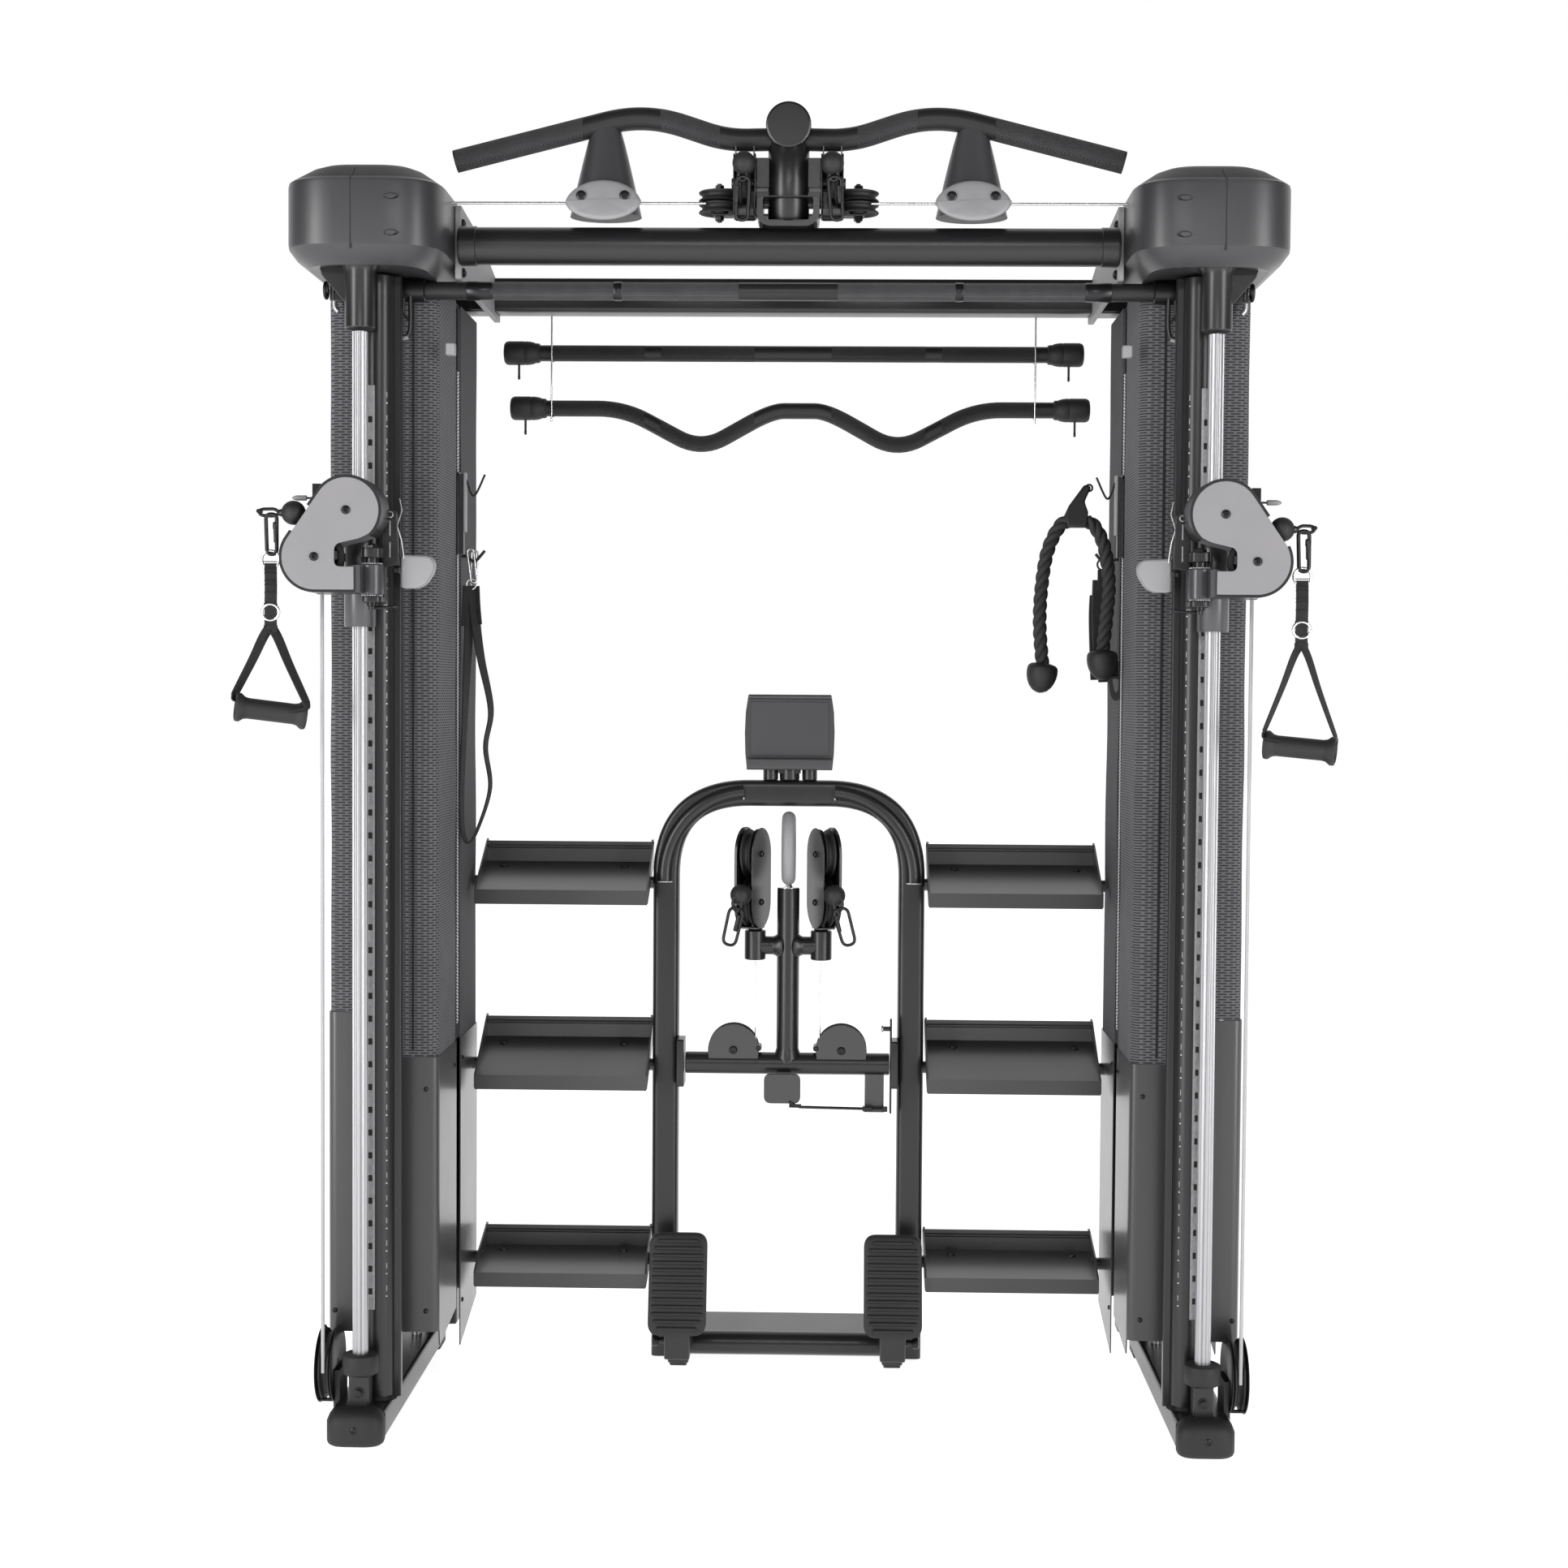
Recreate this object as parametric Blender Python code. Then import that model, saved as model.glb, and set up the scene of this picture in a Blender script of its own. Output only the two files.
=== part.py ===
"""Cable crossover machine: two weight towers joined by top beams, with sliding swivel arms, a bar that
slides between the towers, a pull-up bar, and a centre frame with a folding column, trays and foot plates.

Metres, +Z up, +X to the right, the user stands at -Y. Points below are measured from the plane through the
two guide rods; the "machine" empty moves everything so that the origin is the middle of the footprint.
"""

import math

import bmesh
import bpy
from mathutils import Matrix, Vector

GAP = 0.0003                      # between pieces that touch
SIDES = 16                        # facets round a tube
SMALL_SIDES = 10                  # facets round a pin or bolt
WIRE_SIDES = 6                    # facets round a wire or cable

# Towers, given for the right side; the left one mirrors it in X.
ROD_X, ROD_R = 0.675, 0.0125      # guide rod of the sliding carriage
ROD_BOTTOM, ROD_TOP = 0.105, 1.770
BUMPER_R, BUMPER_H = 0.029, 0.033
POST_X, POST_Y, POST_R = 0.656, 0.060, 0.025
FOOT_W, FOOT_BOTTOM, FOOT_TOP = 0.090, 0.005, 0.050
FOOT_FRONT, FOOT_BACK = -0.055, 0.560
CAP_LENGTH, CAP_TOP = 0.040, 0.056
COVER_X = (0.571, 0.752)          # fabric shroud, inner and outer face
COVER_Y = (0.120, 0.542)          # fabric shroud, front and back face
COVER_WALL, COVER_CORNER = 0.003, 0.022
STEEL_TOP, STEEL_STEP_TOP, STEEL_STEP_X = 0.598, 0.672, 0.700
STEEL_BOTTOM, STEEL_PROUD, STEEL_WALL = 0.140, 0.0015, 0.002
STEEL_REAR_BOTTOM = 0.0533
STEEL_GAP_Y = (0.300, 0.345)      # open slot between the front and the rear steel cover
HOUSING_X, HOUSING_Y, HOUSING_Z = (0.541, 0.788), (-0.072, 0.300), (1.868, 2.018)
HOUSING_CORNER, HOUSING_BEVEL, HOUSING_WALL = 0.055, 0.026, 0.006
SLEEVE_R = 0.024
STRIP_W, STRIP_T, STRIP_Z = 0.020, 0.004, (0.200, 1.690)
HOLE_PITCH, HOLE_SIZE, HOLE_FIRST, HOLE_COUNT = 0.037, 0.008, 0.230, 39
STACK_X, STACK_Y, STACK_Z = (0.605, 0.718), (0.180, 0.480), (0.200, 0.620)
STACK_ROD_R, STACK_ROD_Y, STACK_ROD_CLEAR = 0.0095, (0.230, 0.430), 0.001
PULLEY_X, PULLEY_Y, PULLEY_Z, PULLEY_R = 0.737, 0.060, 0.103, 0.058
GROOVE_DEPTH, PULLEY_HALF, AXLE_R, AXLE_CLEAR = 0.007, 0.010, 0.008, 0.0008
CABLE_R = 0.003

# Carriage and arm, right side.
CARRIAGE_Z = (1.304, 1.500)
CARRIAGE_R, CARRIAGE_CLEAR = 0.025, 0.001
BARREL_X, BARREL_Y, BARREL_R = 0.645, -0.055, 0.018
BARREL_Z = (1.3505, 1.4155)
LUG_T, LUG_R, LUG_CLEAR = 0.010, 0.016, 0.0005
PLATE_Y = (-0.104, -0.100, -0.056, -0.052)     # faces of the arm's front and rear plates
ARM_UPPER, ARM_LOWER, ARM_LOBE_R = (0.676, 1.481), (0.7255, 1.409), 0.055
ARM_PULLEY_R, ARM_Y = 0.041, -0.078
LINK_R = 0.009
BALL_R = 0.019
BALL_AT = {-1: (0.762, 1.478), 1: (0.766, 1.460)}
HANDLE_X, HANDLE_DROP = 0.798, {-1: 0.308, 1: 0.336}
GRIP_LENGTH, GRIP_R, GRIP_FLANGE_R = 0.124, 0.016, 0.0225
LEVER_PIVOT = (0.606, -0.012, 1.397)

# Top frame and bars.
BEAM_R, BEAM_Y, BEAM_Z, BEAM_HALF = 0.030, 0.080, 1.920, 0.5307
REAR_BEAM_Y, REAR_BEAM_Z = (0.470, 0.530), (1.880, 1.940)
SIDE_PLATE_X, SIDE_PLATE_Z = (0.531, 0.5407), (1.870, 1.985)
UPRIGHT_X, UPRIGHT_Y = (0.600, 0.655), (0.490, 0.532)
SMITH_Y, SMITH_Z, SMITH_R, SMITH_HALF, SMITH_PIN_HALF = 0.1015, 1.852, 0.0145, 0.660, 0.742
PULLUP_R, PULLUP_Y = 0.018, 0.066
HUB_R, HUB_Z, HUB_POST_R = 0.036, 2.105, 0.033
SUPPORT_X = 0.2935
TOP_PULLEY_X, TOP_PULLEY_Z, TOP_PULLEY_R = 0.070, 2.020, 0.033
BAR_R, BAR_Y, BAR_CAP_R, BAR_CAP_LENGTH, BAR_HALF = 0.0145, 0.566, 0.0215, 0.066, 0.527
STRAIGHT_BAR_Z, CURL_BAR_Z, CURL_BAR_X = 1.820, 1.720, 0.012
HOOK_X, HOOK_Y, HOOK_R = 0.438, 0.546, 0.003

# Centre frame.
ARCH_X, ARCH_Y, ARCH_R, ARCH_TOP, ARCH_CORNER = 0.221, 0.500, 0.0235, 1.0235, 0.150
CROSS_R, BASE_BACK = 0.021, 0.640
SWING_Y, SWING_Z, SWING_R, SWING_HALF = 0.460, 0.540, 0.0195, 0.1835
COLUMN_R, COLUMN_TOP = 0.020, 0.856
BLOCK_X, BLOCK_YAW = 0.059, math.radians(25)
BLOCK_Z, BLOCK_R, BLOCK_HALF = (0.831, 0.917), 0.047, 0.017
TRAY_X = (0.250, 0.556)
TRAY_Y, TRAY_SHEET = (0.415, 0.560), 0.003
TRAY_HEIGHTS = {"top": 0.826, "middle": 0.495, "lower": 0.140}
TRAY_BACK = {"top": 0.104, "middle": 0.112, "lower": 0.080}
FOOT_PLATE_X, FOOT_PLATE_W, FOOT_PLATE_Z = 0.191, 0.103, (0.068, 0.239)
HOLDER_HALF, HOLDER_Z, HOLDER_Y = 0.080, (1.066, 1.200), (0.474, 0.486)
HOLDER_HINGE_R, HOLDER_FOOT = 0.0117, 0.036

FRONT_Y, REAR_Y = PLATE_Y[0], BASE_BACK
Y_MID = (FRONT_Y + REAR_Y) / 2

FINISHES = {
    "powder_black": ((0.020, 0.020, 0.021), 0.45, 0.3),
    "cover_grey": ((0.045, 0.045, 0.047), 0.50, 0.3),
    "housing_grey": ((0.050, 0.050, 0.052), 0.55, 0.0),
    "mesh_fabric": ((0.060, 0.060, 0.064), 0.90, 0.0),
    "bright_metal": ((0.80, 0.80, 0.81), 0.25, 1.0),
    "arm_grey": ((0.090, 0.090, 0.094), 0.45, 0.2),
    "light_grey": ((0.33, 0.33, 0.34), 0.50, 0.0),
    "rubber_black": ((0.012, 0.012, 0.012), 0.75, 0.0),
    "weight_iron": ((0.030, 0.030, 0.030), 0.60, 0.5),
    "cable_grey": ((0.30, 0.30, 0.31), 0.45, 0.0),
}


# ---------------------------------------------------------------- solids
def skin(rings):
    """A closed solid through rings of points: quads between them and a face at each end."""
    bm = bmesh.new()
    rows = [[bm.verts.new(p) for p in ring] for ring in rings]
    count = len(rows[0])
    for lower, upper in zip(rows, rows[1:]):
        for i in range(count):
            j = (i + 1) % count
            bm.faces.new((lower[i], lower[j], upper[j], upper[i]))
    bm.faces.new(rows[0])
    bm.faces.new(rows[-1])
    bmesh.ops.recalc_face_normals(bm, faces=bm.faces)
    return bm


def circle(centre, axis, radius, sides=SIDES, up=None):
    axis = Vector(axis).normalized()
    across = Vector(up) if up else axis.orthogonal()
    across = (across - axis * across.dot(axis)).normalized()
    other = axis.cross(across)
    turns = [2 * math.pi * i / sides for i in range(sides)]
    return [Vector(centre) + radius * (math.cos(t) * across + math.sin(t) * other) for t in turns]


def rod(start, end, radius, sides=SIDES, end_radius=None):
    axis = Vector(end) - Vector(start)
    return skin([circle(start, axis, radius, sides), circle(end, axis, end_radius or radius, sides)])


def box(low, high):
    (x0, x1), (y0, y1), (z0, z1) = [sorted(pair) for pair in zip(low, high)]
    ring = [(x0, y0), (x1, y0), (x1, y1), (x0, y1)]
    return skin([[(x, y, z) for x, y in ring] for z in (z0, z1)])


def slab(outline, axis, low, high):
    """An outline drawn across an axis ('x': points are y, z; 'y': x, z; 'z': x, y) and given a thickness."""
    place = {"x": lambda a, b, h: (h, a, b), "y": lambda a, b, h: (a, h, b), "z": lambda a, b, h: (a, b,
             h)}[axis]
    return skin([[place(a, b, h) for a, b in outline] for h in (low, high)])


def rounded(corners, radius, steps=4, closed=True):
    """The corners joined by lines, each corner replaced by a curve that starts and ends a radius away."""
    points = [Vector(c) for c in corners]
    count, out = len(points), []
    for i, corner in enumerate(points):
        if not closed and i in (0, count - 1):
            out.append(corner)
            continue
        before, after = points[i - 1] - corner, points[(i + 1) % count] - corner
        a = corner + before.normalized() * min(radius, before.length * 0.49)
        b = corner + after.normalized() * min(radius, after.length * 0.49)
        for k in range(steps + 1):
            t = k / steps
            out.append(a * (1 - t) ** 2 + corner * 2 * t * (1 - t) + b * t * t)
    return out


def sweep(path, radius, sides=SIDES, up=(0, 1, 0)):
    """A round tube along a path of points, with flat ends."""
    points = [Vector(p) for p in path]
    rings = []
    for i, point in enumerate(points):
        ahead = points[min(i + 1, len(points) - 1)] - points[max(i - 1, 0)]
        rings.append(circle(point, ahead, radius, sides, up))
    return skin(rings)


def turned(base, axis, profile, sides=SIDES):
    """A turned solid: the profile gives height along the axis and radius."""
    axis = Vector(axis).normalized()
    return skin([circle(Vector(base) + axis * h, axis, r, sides) for h, r in profile])


def ball(centre, radius, sides=SMALL_SIDES):
    angles = [math.radians(a) for a in range(-75, 76, 30)]
    profile = [(radius * math.sin(a), radius * math.cos(a)) for a in angles]
    return turned(centre, (0, 0, 1), profile, sides)


def pulley(centre, axis, radius, half=PULLEY_HALF, depth=GROOVE_DEPTH):
    """A grooved wheel; its bore is cut later."""
    profile = [(-half, radius), (-half * 0.4, radius - depth), (half * 0.4, radius - depth), (half, radius)]
    return turned(centre, axis, profile, SIDES)


def oval(centre, half_across, half_up, sides=SIDES):
    turns = [2 * math.pi * i / sides for i in range(sides)]
    return [(centre[0] + half_across * math.cos(t), centre[1] + half_up * math.sin(t)) for t in turns]


def stadium(first, second, radius, steps=8):
    """The outline round two equal circles."""
    a, b = Vector(first), Vector(second)
    heading = math.atan2(b.y - a.y, b.x - a.x)
    out = []
    for centre, start in ((b, heading - math.pi / 2), (a, heading + math.pi / 2)):
        for k in range(steps + 1):
            t = start + math.pi * k / steps
            out.append((centre.x + radius * math.cos(t), centre.y + radius * math.sin(t)))
    return out


# ---------------------------------------------------------------- objects
def clear_scene():
    for obj in list(bpy.data.objects):
        bpy.data.objects.remove(obj)


def finish(name):
    if name in bpy.data.materials:
        return bpy.data.materials[name]
    colour, roughness, metallic = FINISHES[name]
    material = bpy.data.materials.new(name)
    material.use_nodes = True
    shader = material.node_tree.nodes["Principled BSDF"]
    shader.inputs["Base Color"].default_value = (*colour, 1)
    shader.inputs["Roughness"].default_value = roughness
    shader.inputs["Metallic"].default_value = metallic
    return material


def empty(name, place, parent=None):
    """A joint's or the machine's reference point; place is measured like every other point here."""
    obj = bpy.data.objects.new(name, None)
    obj["place"] = place
    obj.parent = parent
    obj.location = Vector(place) - Vector(parent["place"] if parent else (0, Y_MID, 0))
    bpy.context.scene.collection.objects.link(obj)
    return obj


def mesh_object(name, bm, parent, collection):
    bmesh.ops.translate(bm, verts=bm.verts, vec=-Vector(parent["place"]))
    mesh = bpy.data.meshes.new(name)
    bm.to_mesh(mesh)
    bm.free()
    mesh.shade_smooth()
    mesh.set_sharp_from_angle(angle=math.radians(35))
    obj = bpy.data.objects.new(name, mesh)
    obj.parent = parent
    collection.objects.link(obj)
    return obj


def combine(obj, solids, operation):
    """Unions or subtracts hidden helper solids."""
    group = bpy.data.collections.new(f"{obj.name}_{operation.lower()}")
    bpy.context.scene.collection.children.link(group)
    for solid in solids:
        helper = mesh_object(f"{obj.name}_helper", solid, obj.parent, group)
        helper.hide_render = True
        helper.display_type = "WIRE"
    modifier = obj.modifiers.new(operation.lower(), "BOOLEAN")
    modifier.operation = operation
    modifier.operand_type = "COLLECTION"
    modifier.collection = group
    modifier.solver = "EXACT"


def make(name, finish_name, on, solids, cuts=()):
    """One named sub-part: the solids joined into one, less the cuts."""
    obj = mesh_object(name, solids[0], on, bpy.context.scene.collection)
    if solids[1:]:
        combine(obj, solids[1:], "UNION")
    if cuts:
        combine(obj, cuts, "DIFFERENCE")
    obj.data.materials.append(finish(finish_name))
    return obj


# ---------------------------------------------------------------- towers
def cover_outline(s, inset, y_range=COVER_Y, corner=COVER_CORNER):
    x0, x1 = COVER_X[0] + inset, COVER_X[1] - inset
    y0, y1 = y_range[0] + inset, y_range[1] - inset
    corners = [(s * x0, y0), (s * x1, y0), (s * x1, y1), (s * x0, y1)]
    return rounded(corners, max(corner - inset, 0.004), 3)


def base_foot(s, side, machine):
    half = FOOT_W / 2
    middle = ROD_X + 0.001
    tube = box((s * (middle - half), FOOT_FRONT + CAP_LENGTH, FOOT_BOTTOM), (s * (middle + half),
               FOOT_BACK, FOOT_TOP))
    nose = rounded([(s * (middle - half - 0.001), FOOT_FRONT + CAP_LENGTH + 0.004),
                    (s * (middle - half - 0.001), FOOT_FRONT), (s * (middle + half + 0.001), FOOT_FRONT),
                    (s * (middle + half + 0.001), FOOT_FRONT + CAP_LENGTH + 0.004)], 0.018, 3)
    cap = slab(nose, "z", 0, CAP_TOP)
    pad = box((s * (middle - half), FOOT_BACK - 0.06, 0), (s * (middle + half), FOOT_BACK - 0.001,
                                                           FOOT_BOTTOM + 0.01))
    socket = box((s * (ROD_X - 0.016), -0.016, FOOT_TOP - 0.01), (s * (ROD_X + 0.016), 0.016,
                 ROD_BOTTOM - GAP))
    rods = [rod((s * sum(STACK_X) / 2, y, FOOT_TOP - 0.01), (s * sum(STACK_X) / 2, y, HOUSING_Z[0] - 0.01),
                STACK_ROD_R, SMALL_SIDES) for y in STACK_ROD_Y]
    guards = [rod((s * (PULLEY_X + a), PULLEY_Y, PULLEY_Z), (s * (PULLEY_X + b), PULLEY_Y, PULLEY_Z),
                  PULLEY_R + 0.004)
              for a, b in ((-0.0135, -0.0115), (0.0115, 0.0135))]
    axle = rod((s * (PULLEY_X - 0.013), PULLEY_Y, PULLEY_Z), (s * (PULLEY_X + 0.013), PULLEY_Y, PULLEY_Z),
               AXLE_R, SMALL_SIDES)
    stay = box((s * (middle + half - 0.006), PULLEY_Y - 0.03, 0.02), (s * (PULLEY_X - 0.012),
               PULLEY_Y + 0.03, 0.10))
    return make(f"{side}_base_foot", "powder_black", machine, [tube, cap, pad, socket, *rods, *guards,
                                                               axle, stay])


def strip_holes(s):
    y = POST_Y - POST_R - GAP - STRIP_T / 2
    for i in range(HOLE_COUNT):
        z = HOLE_FIRST + HOLE_PITCH * i
        yield box((s * (ROD_X - 0.007) - HOLE_SIZE / 2, y - STRIP_T, z - HOLE_SIZE / 2),
                  (s * (ROD_X - 0.007) + HOLE_SIZE / 2, y + STRIP_T, z + HOLE_SIZE / 2))


def rails(s, side, machine):
    bumper = turned((s * ROD_X, 0, ROD_BOTTOM), (0, 0, 1), [(0, BUMPER_R - 0.003), (0.003, BUMPER_R),
                    (BUMPER_H - 0.003, BUMPER_R), (BUMPER_H, BUMPER_R - 0.003)])
    shaft = rod((s * ROD_X, 0, ROD_BOTTOM + 0.001), (s * ROD_X, 0, ROD_TOP - GAP), ROD_R)
    make(f"{side}_guide_rod", "bright_metal", machine, [shaft, bumper])
    make(f"{side}_front_post", "powder_black", machine,
         [rod((s * POST_X, POST_Y, FOOT_TOP + GAP), (s * POST_X, POST_Y, HOUSING_Z[0] - GAP), POST_R)])
    back = POST_Y - POST_R - GAP
    middle = s * (ROD_X - 0.007)
    strip = box((middle - STRIP_W / 2, back - STRIP_T, STRIP_Z[0]), (middle + STRIP_W / 2, back,
                STRIP_Z[1]))
    make(f"{side}_height_strip", "bright_metal", machine, [strip], list(strip_holes(s)))


def top_housing(s, side, machine):
    def ring(inset, z):
        x0, x1 = HOUSING_X[0] + inset, HOUSING_X[1] - inset
        y0, y1 = HOUSING_Y[0] + inset, HOUSING_Y[1] - inset
        corners = [(s * x0, y0), (s * x1, y0), (s * x1, y1), (s * x0, y1)]
        return [(p.x, p.y, z) for p in rounded(corners, max(HOUSING_CORNER - inset, 0.01), 4)]
    z0, z1 = HOUSING_Z
    shell = skin([ring(HOUSING_BEVEL, z0), ring(0, z0 + HOUSING_BEVEL * 0.8), ring(0, z1 - HOUSING_BEVEL),
                  ring(HOUSING_BEVEL, z1)])
    inside = HOUSING_BEVEL + HOUSING_WALL
    hollow = skin([ring(inside, z0 + HOUSING_WALL), ring(inside, z1 - HOUSING_WALL)])
    cable_way = rod((s * 0.70, 0.17, z0 - 0.01), (s * 0.70, 0.17, z0 + 0.03), 0.02, SMALL_SIDES)
    sleeve = rod((s * ROD_X, 0, ROD_TOP), (s * ROD_X, 0, z0 + 0.004), SLEEVE_R)
    web = box((s * (ROD_X + 0.02), -0.003, ROD_TOP + 0.03), (s * (ROD_X + 0.062), 0.003, z0 + 0.003))
    make(f"{side}_top_housing", "housing_grey", machine, [shell, sleeve, web], [hollow, cable_way])


def side_frame(s, side, machine):
    z0, z1 = SIDE_PLATE_Z
    outline = [(0.0, z0 + 0.03), (0.03, z0), (REAR_BEAM_Y[1] + 0.01, z0), (REAR_BEAM_Y[1] + 0.01,
               z0 + 0.06),
               (0.30, z1 - 0.02), (0.02, z1)]
    plate = slab(outline, "x", s * SIDE_PLATE_X[0], s * SIDE_PLATE_X[1])
    arm = box((s * (SIDE_PLATE_X[0] + 0.003), REAR_BEAM_Y[0], REAR_BEAM_Z[0]),
              (s * UPRIGHT_X[1], REAR_BEAM_Y[1], REAR_BEAM_Z[1]))
    upright = box((s * UPRIGHT_X[0], UPRIGHT_Y[0], FOOT_TOP + GAP), (s * UPRIGHT_X[1], UPRIGHT_Y[1],
                  REAR_BEAM_Z[1]))
    make(f"{side}_rear_upright", "powder_black", machine, [plate, arm, upright])


def shroud(s, side, machine):
    top = HOUSING_Z[0] - GAP
    tube = slab(cover_outline(s, 0), "z", STEEL_TOP + GAP, top)
    bore = slab(cover_outline(s, COVER_WALL), "z", STEEL_TOP - 0.01, top + 0.01)
    step = box((s * (STEEL_STEP_X - GAP), COVER_Y[0] - 0.01, STEEL_TOP - 0.01),
               (s * (COVER_X[1] + 0.01), STEEL_GAP_Y[0] + GAP, STEEL_STEP_TOP + GAP))
    make(f"{side}_mesh_shroud", "mesh_fabric", machine, [tube], [bore, step])


def steel_covers(s, side, machine):
    front_y, rear_y = COVER_Y[0] - STEEL_PROUD, COVER_Y[1] + STEEL_PROUD
    x0, x1 = COVER_X[0] - STEEL_PROUD, COVER_X[1] + STEEL_PROUD

    def wrap(inset, y_open, y_closed):
        """A U-shaped fold: rounded at its closed end, running past its open one."""
        way = math.copysign(1, y_closed - y_open)
        y_end = y_closed - way * inset
        corner = 0.020 - inset
        fold = rounded([(s * (x0 + inset), y_open), (s * (x0 + inset), y_end), (s * (x1 - inset), y_end),
                        (s * (x1 - inset), y_open)], corner, 3, closed=False)
        return [(p.x, p.y) for p in fold]

    def fold(inset, extra, low, high, y_open, y_closed):
        way = math.copysign(1, y_open - y_closed)
        return slab(wrap(inset, y_open + way * extra, y_closed), "z", low, high)

    outer = fold(0, 0, STEEL_BOTTOM, STEEL_TOP, STEEL_GAP_Y[0], front_y)
    raised = box((s * STEEL_STEP_X, front_y + 0.0002, STEEL_TOP - 0.02), (s * (x1 - 0.0002),
                 STEEL_GAP_Y[0], STEEL_STEP_TOP))
    inner = fold(STEEL_WALL, 0.01, STEEL_BOTTOM - 0.1, STEEL_STEP_TOP + 0.1, STEEL_GAP_Y[0], front_y)
    slope = slab([(STEEL_GAP_Y[0] + 0.02, STEEL_BOTTOM - 0.02), (STEEL_GAP_Y[0] + 0.02,
                 STEEL_BOTTOM + 0.06),
                  (front_y - 0.02, STEEL_BOTTOM - 0.02)], "x", s * (x0 - 0.02), s * (x1 + 0.02))
    make(f"{side}_steel_cover_front", "cover_grey", machine, [outer, raised], [inner, slope])
    outer = fold(0, 0, STEEL_REAR_BOTTOM, STEEL_TOP, STEEL_GAP_Y[1], rear_y)
    inner = fold(STEEL_WALL, 0.01, STEEL_REAR_BOTTOM - 0.1, STEEL_TOP + 0.1, STEEL_GAP_Y[1], rear_y)
    make(f"{side}_steel_cover_rear", "cover_grey", machine, [outer], [inner])


def weight_stack(s, side, machine):
    middle = s * sum(STACK_X) / 2
    pivot = empty(f"{side}_stack_slide", (middle, sum(STACK_Y) / 2, STACK_Z[0]), machine)
    block = box((s * STACK_X[0], STACK_Y[0], STACK_Z[0]), (s * STACK_X[1], STACK_Y[1], STACK_Z[1]))
    stem = rod((middle, 0.33, STACK_Z[1] - 0.01), (middle, 0.33, STACK_Z[1] + 0.10), 0.012, SMALL_SIDES)
    bores = [rod((middle, y, STACK_Z[0] - 0.01), (middle, y, STACK_Z[1] + 0.01),
                 STACK_ROD_R + STACK_ROD_CLEAR,
                 SMALL_SIDES) for y in STACK_ROD_Y]
    make(f"{side}_weight_stack", "weight_iron", pivot, [block, stem], bores)


def bottom_pulley(s, side, machine):
    centre = (s * PULLEY_X, PULLEY_Y, PULLEY_Z)
    pivot = empty(f"{side}_bottom_pulley_axle", centre, machine)
    bore = rod((s * (PULLEY_X - 0.02), PULLEY_Y, PULLEY_Z), (s * (PULLEY_X + 0.02), PULLEY_Y, PULLEY_Z),
               AXLE_R + AXLE_CLEAR, SMALL_SIDES)
    make(f"{side}_bottom_pulley", "rubber_black", pivot, [pulley(centre, (s, 0, 0), PULLEY_R)], [bore])


def cable_y():
    return PULLEY_Y - (PULLEY_R - GROOVE_DEPTH) - CABLE_R - 0.0005


def tower_cable(s, side, machine):
    low, high = (s * PULLEY_X, cable_y(), PULLEY_Z), (s * PULLEY_X, cable_y(), 1.355 - GAP)
    make(f"{side}_tower_cable", "cable_grey", machine, [rod(low, high, CABLE_R, WIRE_SIDES)])


# ---------------------------------------------------------------- carriage, arm and handle
def carriage(s, side, machine):
    pivot = empty(f"{side}_carriage_slide", (s * ROD_X, 0, CARRIAGE_Z[0]), machine)
    sleeve = rod((s * ROD_X, 0, CARRIAGE_Z[0]), (s * ROD_X, 0, CARRIAGE_Z[1]), CARRIAGE_R)
    solids = [sleeve]
    for low, high in ((BARREL_Z[0] - GAP - LUG_T, BARREL_Z[0] - GAP), (BARREL_Z[1] + GAP,
                      BARREL_Z[1] + GAP + LUG_T)):
        solids.append(rod((s * BARREL_X, BARREL_Y, low), (s * BARREL_X, BARREL_Y, high), LUG_R))
        solids.append(box((s * (BARREL_X - 0.014), BARREL_Y, low), (s * (BARREL_X + 0.010), -0.010, high)))
    solids.append(rod((s * BARREL_X, BARREL_Y, BARREL_Z[0] - 0.014), (s * BARREL_X, BARREL_Y,
                  BARREL_Z[1] + 0.013),
                      0.006, SMALL_SIDES))
    solids.append(box((s * (BARREL_X - 0.014), -0.024, BARREL_Z[0] - 0.010), (s * (ROD_X - 0.010), -0.004,
                  BARREL_Z[1] + 0.010)))
    solids.append(box((s * (LEVER_PIVOT[0] + 0.006), -0.022, 1.375), (s * (ROD_X - 0.010), -0.002, 1.419)))
    solids.append(box((s * (ROD_X + 0.010), cable_y() - 0.008, 1.355), (s * (PULLEY_X + 0.008),
                  cable_y() + 0.008, 1.372)))
    bore = rod((s * ROD_X, 0, CARRIAGE_Z[0] - 0.01), (s * ROD_X, 0, CARRIAGE_Z[1] + 0.01),
               ROD_R + CARRIAGE_CLEAR)
    make(f"{side}_carriage", "powder_black", pivot, solids, [bore])
    return pivot


def height_lever(s, side, on):
    px, py, pz = LEVER_PIVOT
    pivot = empty(f"{side}_height_lever_pivot", (s * px, py, pz), on)
    outline = rounded([(s * (px - 0.006), pz - 0.020), (s * (px - 0.050), pz - 0.026), (s * (px - 0.060),
                      pz + 0.020),
                       (s * (px - 0.045), pz + 0.028), (s * (px - 0.006), pz + 0.014)], 0.010, 3)
    paddle = slab([(p.x, p.y) for p in outline], "y", py - 0.014, py + 0.010)
    hub = rod((s * px, py - 0.011, pz), (s * px, py + 0.011, pz), 0.0055, SMALL_SIDES)
    neck = box((s * (px - 0.010), py - 0.006, pz - 0.005), (s * px, py + 0.006, pz + 0.005))
    make(f"{side}_height_lever", "light_grey", pivot, [paddle, hub, neck])


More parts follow.
